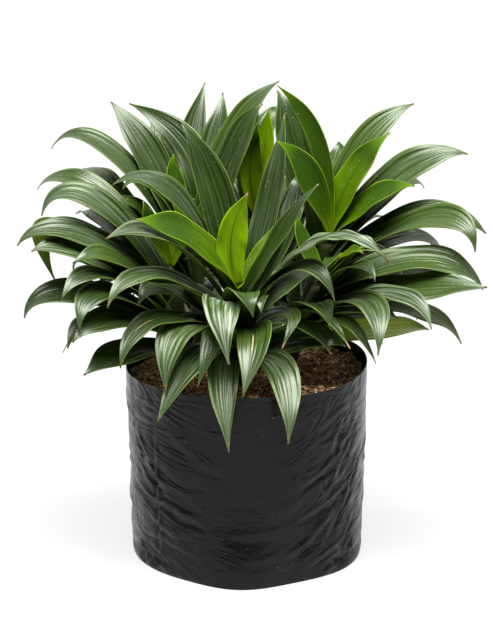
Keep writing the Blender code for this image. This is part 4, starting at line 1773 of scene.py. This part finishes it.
FRONT_CREASES = (
    Crease(-99, 62, 30, -20, 1.5, 3.2),
    Crease(-70, 58, 36, -14, 1.5, 3.0),
    Crease(-88, 82, 24, -38, 1.1, 3.4),
    Crease(-104, 104, 16, -48, 1.3, 3.0),
    Crease(-52, 50, 22, -8, 0.8, 2.6),
    Crease(-78, 38, 26, -22, 0.9, 3.0),
    Crease(-60, 24, 26, -14, 0.8, 3.0),
    Crease(-84, 64, 74, -88, 0.9, 1.8),
    Crease(-84, 16, 14, -24, 1.4, 2.4),
    Crease(-58, 112, 18, -30, 0.6, 4.0),
    Crease(-30, 96, 20, -12, 0.4, 4.5),
    Crease(66, 38, 36, 34, 1.4, 3.2),
    Crease(92, 50, 30, 42, 1.7, 3.0),
    Crease(72, 60, 30, 18, 1.2, 3.0),
    Crease(84, 74, 26, 30, 1.3, 3.2),
    Crease(60, 84, 22, 20, 0.8, 3.6),
    Crease(78, 92, 20, 26, 1.1, 3.2),
    Crease(98, 96, 26, 50, 1.5, 3.2),
    Crease(106, 116, 20, 40, 1.4, 3.0),
    Crease(88, 118, 18, 62, 0.9, 3.0),
    Crease(112, 76, 26, 56, 1.5, 3.0),
    Crease(100, 30, 24, 44, 1.3, 2.8),
    Crease(76, 18, 24, 22, 1.3, 2.6),
    Crease(50, 26, 22, 20, 0.8, 3.2),
    Crease(40, 60, 20, 38, 0.5, 4.2),
    Crease(10, 40, 30, 4, 0.3, 4.0),
    Crease(-6, 70, 34, -6, 0.3, 4.5),
    Crease(20, 20, 26, 6, 0.4, 3.6),
    Crease(-97, 8, 17, -28, 2.4, 2.2),
    Crease(-108, 13, 12, -42, 2.0, 2.2),
    Crease(-86, 4, 14, -14, 1.6, 2.0),
    Crease(97, 9, 18, 30, 2.4, 2.2),
    Crease(108, 14, 12, 46, 2.0, 2.2),
    Crease(85, 4, 14, 16, 1.6, 2.0),
)


@dataclass(frozen=True)
class FilmBag:
    """The round grow bag of thin film, with its wrinkles and tucked base."""

    top_radius: float = 100.0
    base_radius: float = 96.5
    height: float = 161.0
    film: float = 0.7
    base_curve: float = 6.0
    base_tuck: float = 1.0
    base_lobes: tuple[Point, ...] = ((267.0, 9.5, 20.0), (326.0, 3.5, 24.0))
    base_lobe_rise: float = 42.0
    rim_raise: float = 5.0
    rim_raise_at: float = 30.0
    rim_raise_spread: float = 38.0
    rim_wave: float = 0.7
    oval: float = 1.1
    oval_turn: float = 0.6
    oval_at_base: float = 0.4
    sag: float = 0.7
    sag_lobes: int = 5
    sag_twist: float = 3.0
    tuck_depth: float = 5.0
    tuck_level: float = 10.0
    tuck_rise: float = 5.0
    tucks_at: tuple[float, float] = (207.0, 328.0)
    tuck_spread: float = 15.0
    front: float = 270.0
    crease_gain: float = 1.25
    front_reach: float = 130.0
    back_creases: int = 46
    back_leans: tuple[float, float] = (5.0, 55.0)
    back_ranges: tuple[tuple[float, float], ...] = ((12, 140), (14, 34), (0.4, 1.5), (2.6, 4.2))
    crumple: float = 0.55
    crumple_scales: tuple[float, float] = (0.045, 0.09)
    crumple_front: float = 0.25
    crumple_front_spread: float = 55.0
    quiet_rim: float = 26.0
    quiet_rim_past: float = 4.0
    quiet_rim_share: float = 0.15
    quiet_base: float = 6.0
    sides: int = 320
    courses: int = 96
    base_insets: tuple[float, ...] = (0.04, 0.17, 0.17, 0.17, 0.17)
    smooth_below: float = 50.0
    seed: int = 5

    def off(self, angle: np.ndarray, other: float) -> np.ndarray:
        """Degrees from one direction to others, between -180 and 180."""
        return (angle - other + 180.0) % 360.0 - 180.0

    def radius(self, angle: np.ndarray, level: np.ndarray) -> np.ndarray:
        """The film's outer radius without wrinkles.

        Args:
            angle: directions in degrees from +X towards +Y.
            level: heights.

        Returns:
            The radii.
        """
        turn = np.radians(angle)
        share = level / self.height
        oval = self.oval * (self.oval_at_base + (1.0 - self.oval_at_base) * share)
        radius = self.base_radius + (self.top_radius - self.base_radius) * share
        radius = radius + oval * np.sin(2 * turn + self.oval_turn)
        sagging = np.sin(self.sag_lobes * turn + self.sag_twist * share)
        radius += self.sag * sagging * np.sin(np.pi * share)
        low = np.clip(1.0 - level / self.base_curve, 0.0, None)
        radius -= self.base_tuck * low**2
        for lobe_at, out, lobe_spread in self.base_lobes:
            spread = self.off(angle, lobe_at) / lobe_spread
            radius += out * np.exp(-(spread**2) - (level / self.base_lobe_rise) ** 2)
        for tuck in self.tucks_at:
            spread = self.off(angle, tuck) / self.tuck_spread
            height = (level - self.tuck_level) / self.tuck_rise
            radius -= self.tuck_depth * np.exp(-(spread**2) - height**2)
        return radius

    def rim(self, angle: np.ndarray) -> np.ndarray:
        """The level of the film's top edge."""
        spread = self.off(angle, self.rim_raise_at) / self.rim_raise_spread
        wave = self.rim_wave * np.sin(np.radians(3 * angle + 40))
        return self.height + self.rim_raise * np.exp(-(spread**2)) + wave

    def creases(self, around: float) -> list[Crease]:
        """The listed creases in front, and drawn ones over the rest of the way round.

        Args:
            around: the length once round the bag.

        Returns:
            The creases.
        """
        draw = random.Random(self.seed)
        found = list(FRONT_CREASES)
        for _ in range(self.back_creases):
            right = draw.uniform(self.front_reach, around - self.front_reach)
            lean = draw.choice((-1, 1)) * draw.uniform(*self.back_leans)
            up, reach, depth, width = (draw.uniform(*bounds) for bounds in self.back_ranges)
            found.append(Crease(right, up, reach, lean, depth, width))
        return found

    def wrinkles(self, angle: np.ndarray, level: np.ndarray) -> np.ndarray:
        """How far the wrinkled film stands out from its plain radius.

        Args:
            angle: directions in degrees.
            level: heights.

        Returns:
            Millimetres outwards.
        """
        around = 2 * math.pi * self.top_radius
        from_front = self.off(angle, self.front)
        right = np.radians(from_front) * self.top_radius
        folds = sum(crease.depth_at(right, level, around) for crease in self.creases(around))
        x_scale, z_scale = self.crumple_scales
        small = np.array(
            [
                noise.fractal(Vector((x_scale * x, z_scale * z, 3.0)), 1.0, 2.0, 3)
                for x, z in zip(right, level)
            ]
        )
        beside = np.clip(np.abs(from_front) / self.crumple_front_spread, 0, 1) ** 2
        calm = self.crumple_front + (1.0 - self.crumple_front) * beside
        below_rim = (self.height + self.quiet_rim_past - level) / self.quiet_rim
        quiet = np.clip(below_rim, self.quiet_rim_share, 1.0)
        quiet *= np.clip(level / self.quiet_base, 0.0, 1.0)
        return (self.crease_gain * folds + self.crumple * calm * small) * quiet

    def build(self, effects: Effects) -> bpy.types.Object:
        """Models the film from a cylinder: open top, ringed base, wrinkled wall.

        Args:
            effects: the shared node groups.

        Returns:
            The piece.
        """
        bag = unit_cylinder("film_bag", self.sides)
        bpy.ops.object.mode_set(mode="EDIT")
        select_faces(lambda normal: normal.z > 0.9)
        bpy.ops.mesh.delete(type="ONLY_FACE")
        select_faces(lambda normal: normal.z < -0.9)
        for inset in self.base_insets:
            bpy.ops.mesh.inset(thickness=inset)
        cut_upright_edges(self.courses)
        bpy.ops.object.mode_set(mode="OBJECT")
        places = places_of(bag.data)
        angle, away = to_polar(places)
        level = places[:, 2] * self.rim(angle)
        radius = self.radius(angle, level) + self.wrinkles(angle, level)
        set_places(bag.data, from_polar(angle, away * radius, level) * MM)
        apply_modifier(bag, "SOLIDIFY", thickness=self.film * MM, offset=-1.0)
        bag.data.shade_smooth()
        pick(bag)
        bpy.ops.object.shade_smooth_by_angle(angle=math.radians(self.smooth_below))
        bag.data.materials.append(FilmFinish().material(effects))
        return hand_over(bag, "film", "grow_bag")


@dataclass(frozen=True)
class PottingSoil:
    """The soil that fills the bag, its crumbs, fibres and rootlets."""

    bag: FilmBag = FilmBag()
    wall: float = 2.8
    bottom: float = 1.6
    slim_below: float = 40.0
    lump: float = 1.6
    small_lump: float = 1.0
    slope: float = 2.5
    clod: float = 2.2
    clod_scale: float = 0.085
    tone: float = 0.25
    sides: int = 144
    rings: int = 44
    rings_reach: float = 0.985
    courses: int = 8
    edge_gap: float = 6.0
    crumbs: int = 3000
    crumb_sizes: tuple[float, ...] = (0.5, 0.65, 0.8, 1.1, 1.6)
    crumb_tones: tuple[float, ...] = (0.05, 0.25, 0.45, 0.7, 1.1, 1.4)
    crumb_stretches: tuple[tuple[float, float], ...] = ((0.6, 1.5), (0.6, 1.5), (0.5, 1.0))
    crumb_jitter: tuple[float, float] = (0.7, 1.3)
    crumb_tilt: float = 0.6
    crumb_lift: float = 0.2
    fibres: int = 220
    fibre_reach: float = 0.95
    fibre_sides: int = 4
    fibre_cuts: int = 4
    fibre_lengths: tuple[float, float] = (4.0, 14.0)
    fibre_radii: tuple[float, float] = (0.12, 0.3)
    fibre_bow: float = 0.35
    fibre_lift: float = 1.0
    fibre_slant: float = 1.6
    fibre_tones: tuple[float, ...] = (0.3, 0.6, 0.9, 1.2)
    seed: int = 11

    def rough_level(self, x: np.ndarray, y: np.ndarray) -> np.ndarray:
        """The top of the soil: higher at the right and back, with clods and pits.

        Args:
            x: places' distance right of the axis.
            y: their distance behind it.

        Returns:
            The heights.
        """
        lump = self.lump * np.sin(0.11 * x + 0.6) * np.cos(0.09 * y)
        small_lump = self.small_lump * np.sin(0.23 * x - 0.17 * y)
        slope = self.slope * (x + 0.5 * y) / self.bag.top_radius
        scale = self.clod_scale
        clods = [
            self.clod * noise.fractal(Vector((scale * a, scale * b, 0.0)), 0.6, 2.2, 6)
            for a, b in zip(x, y)
        ]
        return SOIL_TOP + lump + small_lump + slope + np.array(clods)

    def build(self, effects: Effects) -> list[bpy.types.Object]:
        """Builds the body of soil and what lies on it.

        Args:
            effects: the shared node groups.

        Returns:
            The pieces.
        """
        finish = SoilFinish().material(effects)
        pieces = [self.body(), self.crumb_layer(), self.fibre_layer()]
        for piece in pieces:
            piece.data.materials.append(finish)
        hand_over(pieces[0], "soil", "potting_soil")
        for piece in pieces[1:]:
            hand_over(piece, "soil")
        return pieces

    def body(self) -> bpy.types.Object:
        """Models the body from a cylinder, its top ringed by insets and made rough.

        Returns:
            The body.
        """
        soil = unit_cylinder("soil_body", self.sides)
        bpy.ops.object.mode_set(mode="EDIT")
        select_faces(lambda normal: normal.z > 0.9)
        for _ in range(self.rings - 1):
            bpy.ops.mesh.inset(thickness=self.rings_reach / self.rings)
        bpy.ops.mesh.poke()
        cut_upright_edges(self.courses)
        bpy.ops.object.mode_set(mode="OBJECT")
        places = places_of(soil.data)
        angle, away = to_polar(places)
        share = places[:, 2]
        level = self.bottom + share * (SOIL_TOP - self.bottom)
        wide = self.bag.radius(angle, level)
        tucked = self.bag.radius(angle, np.full_like(level, self.bag.tuck_level))
        radius = np.where(level < self.slim_below, np.minimum(wide, tucked), wide) - self.wall
        made = from_polar(angle, away * radius, level)
        top = share > 0.999
        made[top, 2] = self.rough_level(made[top, 0], made[top, 1])
        set_places(soil.data, made * MM)
        set_value(soil.data, "tone", self.tone)
        soil.data.shade_smooth()
        return soil

    def spots(self, count: int, draw: random.Random, reach: float) -> list[np.ndarray]:
        """Places spread over the top of the soil.

        Args:
            count: how many.
            draw: the source of the places.
            reach: how far from the axis they go, in shares of the radius.

        Returns:
            The places.
        """
        found = []
        for _ in range(count):
            turn = draw.uniform(0, 2 * math.pi)
            away = reach * (self.bag.top_radius - self.edge_gap) * math.sqrt(draw.random())
            x, y = np.array([away * math.cos(turn)]), np.array([away * math.sin(turn)])
            found.append(np.concatenate([x, y, self.rough_level(x, y)]))
        return found

    def crumb_layer(self) -> bpy.types.Object:
        """Crumbs of peat and chips of coir, copied from one small knob.

        Returns:
            The piece.
        """
        draw = random.Random(self.seed)
        deselect_all()
        bpy.ops.mesh.primitive_ico_sphere_add(subdivisions=1, radius=1.0)
        knob = named("crumb")
        bpy.ops.object.mode_set(mode="EDIT")
        select_points(lambda place: place.z > 0.3)
        bpy.ops.transform.resize(value=(0.8, 1.1, 0.8), center_override=(0.0, 0.0, 0.0))
        bpy.ops.object.mode_set(mode="OBJECT")
        shape = places_of(knob.data)
        copies, tones = [], []
        for spot in self.spots(self.crumbs, draw, self.rings_reach):
            size = draw.choice(self.crumb_sizes)
            stretch = np.array([draw.uniform(*bounds) for bounds in self.crumb_stretches])
            jitter = np.array([[draw.uniform(*self.crumb_jitter)] for _ in shape])
            turn = draw.uniform(0, 2 * math.pi)
            tilt = draw.uniform(-self.crumb_tilt, self.crumb_tilt)
            made = shape * jitter * stretch * size
            made = made @ turn_about(2, turn).T @ turn_about(0, tilt).T
            copies.append(made + spot + np.array([0.0, 0.0, self.crumb_lift * size]))
            tones.append(draw.choice(self.crumb_tones))
        return scattered("soil_crumbs", knob, copies, tones)

    def fibre_layer(self) -> bpy.types.Object:
        """Coir fibres and pale rootlets, copied from one thin strand.

        Returns:
            The piece.
        """
        draw = random.Random(self.seed + 1)
        strand = unit_cylinder("fibre", self.fibre_sides, middle=0.0)
        bpy.ops.object.mode_set(mode="EDIT")
        cut_upright_edges(self.fibre_cuts)
        bpy.ops.object.mode_set(mode="OBJECT")
        x, y, along = places_of(strand.data).T
        copies, tones = [], []
        for spot in self.spots(self.fibres, draw, self.fibre_reach):
            length = draw.uniform(*self.fibre_lengths)
            bow = draw.uniform(-self.fibre_bow, self.fibre_bow) * length
            radius = draw.uniform(*self.fibre_radii)
            slant = self.fibre_slant * draw.uniform(-1, 1)
            made = np.stack(
                [
                    along * length,
                    bow * (0.25 - along**2) * 2 + x * radius,
                    y * radius + self.fibre_lift + slant * along,
                ],
                axis=1,
            )
            copies.append(made @ turn_about(2, draw.uniform(0, 2 * math.pi)).T + spot)
            tones.append(draw.choice(self.fibre_tones))
        return scattered("soil_fibres", strand, copies, tones)


@dataclass(frozen=True)
class Studio:
    """A pale floor, soft light from above and the camera of the photograph."""

    camera_place: Point = (0.0, -2.0, 0.756)
    camera_pitch: float = 15.6
    lens: float = 140.2
    sensor: float = 36.0
    key_place: Point = (0.05, -0.36, 1.5)
    key_target: Point = (0.0, 0.0, 0.25)
    key_size: float = 0.82
    key_power: float = 47.0
    room: float = 0.025
    backdrop: float = 0.95
    ceiling: float = 0.3
    sides: float = 0.35
    seen_white: float = 1.05
    floor_radius: float = 0.95
    floor_shades: tuple[Colour, Colour] = ((0.17, 0.17, 0.17), (0.16, 0.16, 0.16))
    floor_glow: float = 0.79

    def build(self) -> None:
        """Builds the floor, the world, the light and the camera."""
        self.floor()
        self.world()
        self.key_light()
        self.camera()

    def floor(self) -> None:
        """A pale round table under the bag."""
        deselect_all()
        bpy.ops.mesh.primitive_circle_add(vertices=96, radius=self.floor_radius, fill_type="NGON")
        floor = named("floor")
        made, w, shader = new_material("floor")
        shade = w.times(w.noise(w.here(), 3.0), 0.01)
        w.feed(shader["Base Color"], w.mix(shade, *self.floor_shades))
        shader["Roughness"].default_value = 0.8
        shader["Specular IOR Level"].default_value = 0.1
        shader["Emission Color"].default_value = (1.0, 1.0, 1.0, 1.0)
        shader["Emission Strength"].default_value = self.floor_glow
        floor.data.materials.append(made)

    def world(self) -> None:
        """White for the camera, and as a light bright behind and above, dim in front."""
        world = bpy.data.worlds.new("studio")
        bpy.context.scene.world = world
        world.use_nodes = True
        w = Wiring(world.node_tree)
        background = world.node_tree.nodes["Background"].inputs
        background["Color"].default_value = (1.0, 1.0, 1.0, 1.0)
        across, deep, up = w.axes(w.add("TexCoord").outputs["Generated"])
        behind = w.times(w.step(deep, -0.25, 0.8), self.backdrop)
        above = w.times(w.step(up, 0.3, 0.9), self.ceiling)
        beside = w.step(w.maths("ABSOLUTE", across), 0.55, 0.95)
        beside = w.scaled(beside, self.sides, self.room)
        lit = w.maths("ADD", w.maths("ADD", behind, above), beside)
        seen = w.times(w.add("LightPath").outputs["Is Camera Ray"], self.seen_white)
        w.feed(background["Strength"], w.maths("MAXIMUM", lit, seen))
        bpy.context.scene.view_settings.view_transform = "Standard"

    def key_light(self) -> None:
        """A soft square light above the front."""
        data = bpy.data.lights.new("key", "AREA")
        data.shape = "SQUARE"
        data.size = self.key_size
        data.energy = self.key_power
        lamp = linked("key", data)
        lamp.location = self.key_place
        aim = Vector(self.key_target) - Vector(self.key_place)
        lamp.rotation_euler = aim.to_track_quat("-Z", "Y").to_euler()

    def camera(self) -> None:
        """The camera at the photograph's place."""
        data = bpy.data.cameras.new("camera")
        data.lens = self.lens
        data.sensor_width = self.sensor
        data.clip_end = 30.0
        camera = linked("camera", data)
        camera.location = self.camera_place
        camera.rotation_euler = (math.radians(90.0 - self.camera_pitch), 0.0, 0.0)
        bpy.context.scene.camera = camera


def main() -> None:
    """Builds every piece in order and reports each."""
    logging.basicConfig(level=logging.INFO, format="%(message)s")
    log = logging.getLogger("dracaena")
    Studio().build()
    effects = Effects()
    pieces = [FilmBag().build(effects)]
    pieces += PottingSoil().build(effects)
    pieces += Foliage().build(effects)
    total = 0
    for piece in pieces:
        piece.data.calc_loop_triangles()
        count = len(piece.data.loop_triangles)
        total += count
        log.info("%s: %d triangles", piece.name, count)
    log.info("all pieces: %d triangles", total)


if __name__ == "__main__":
    main()
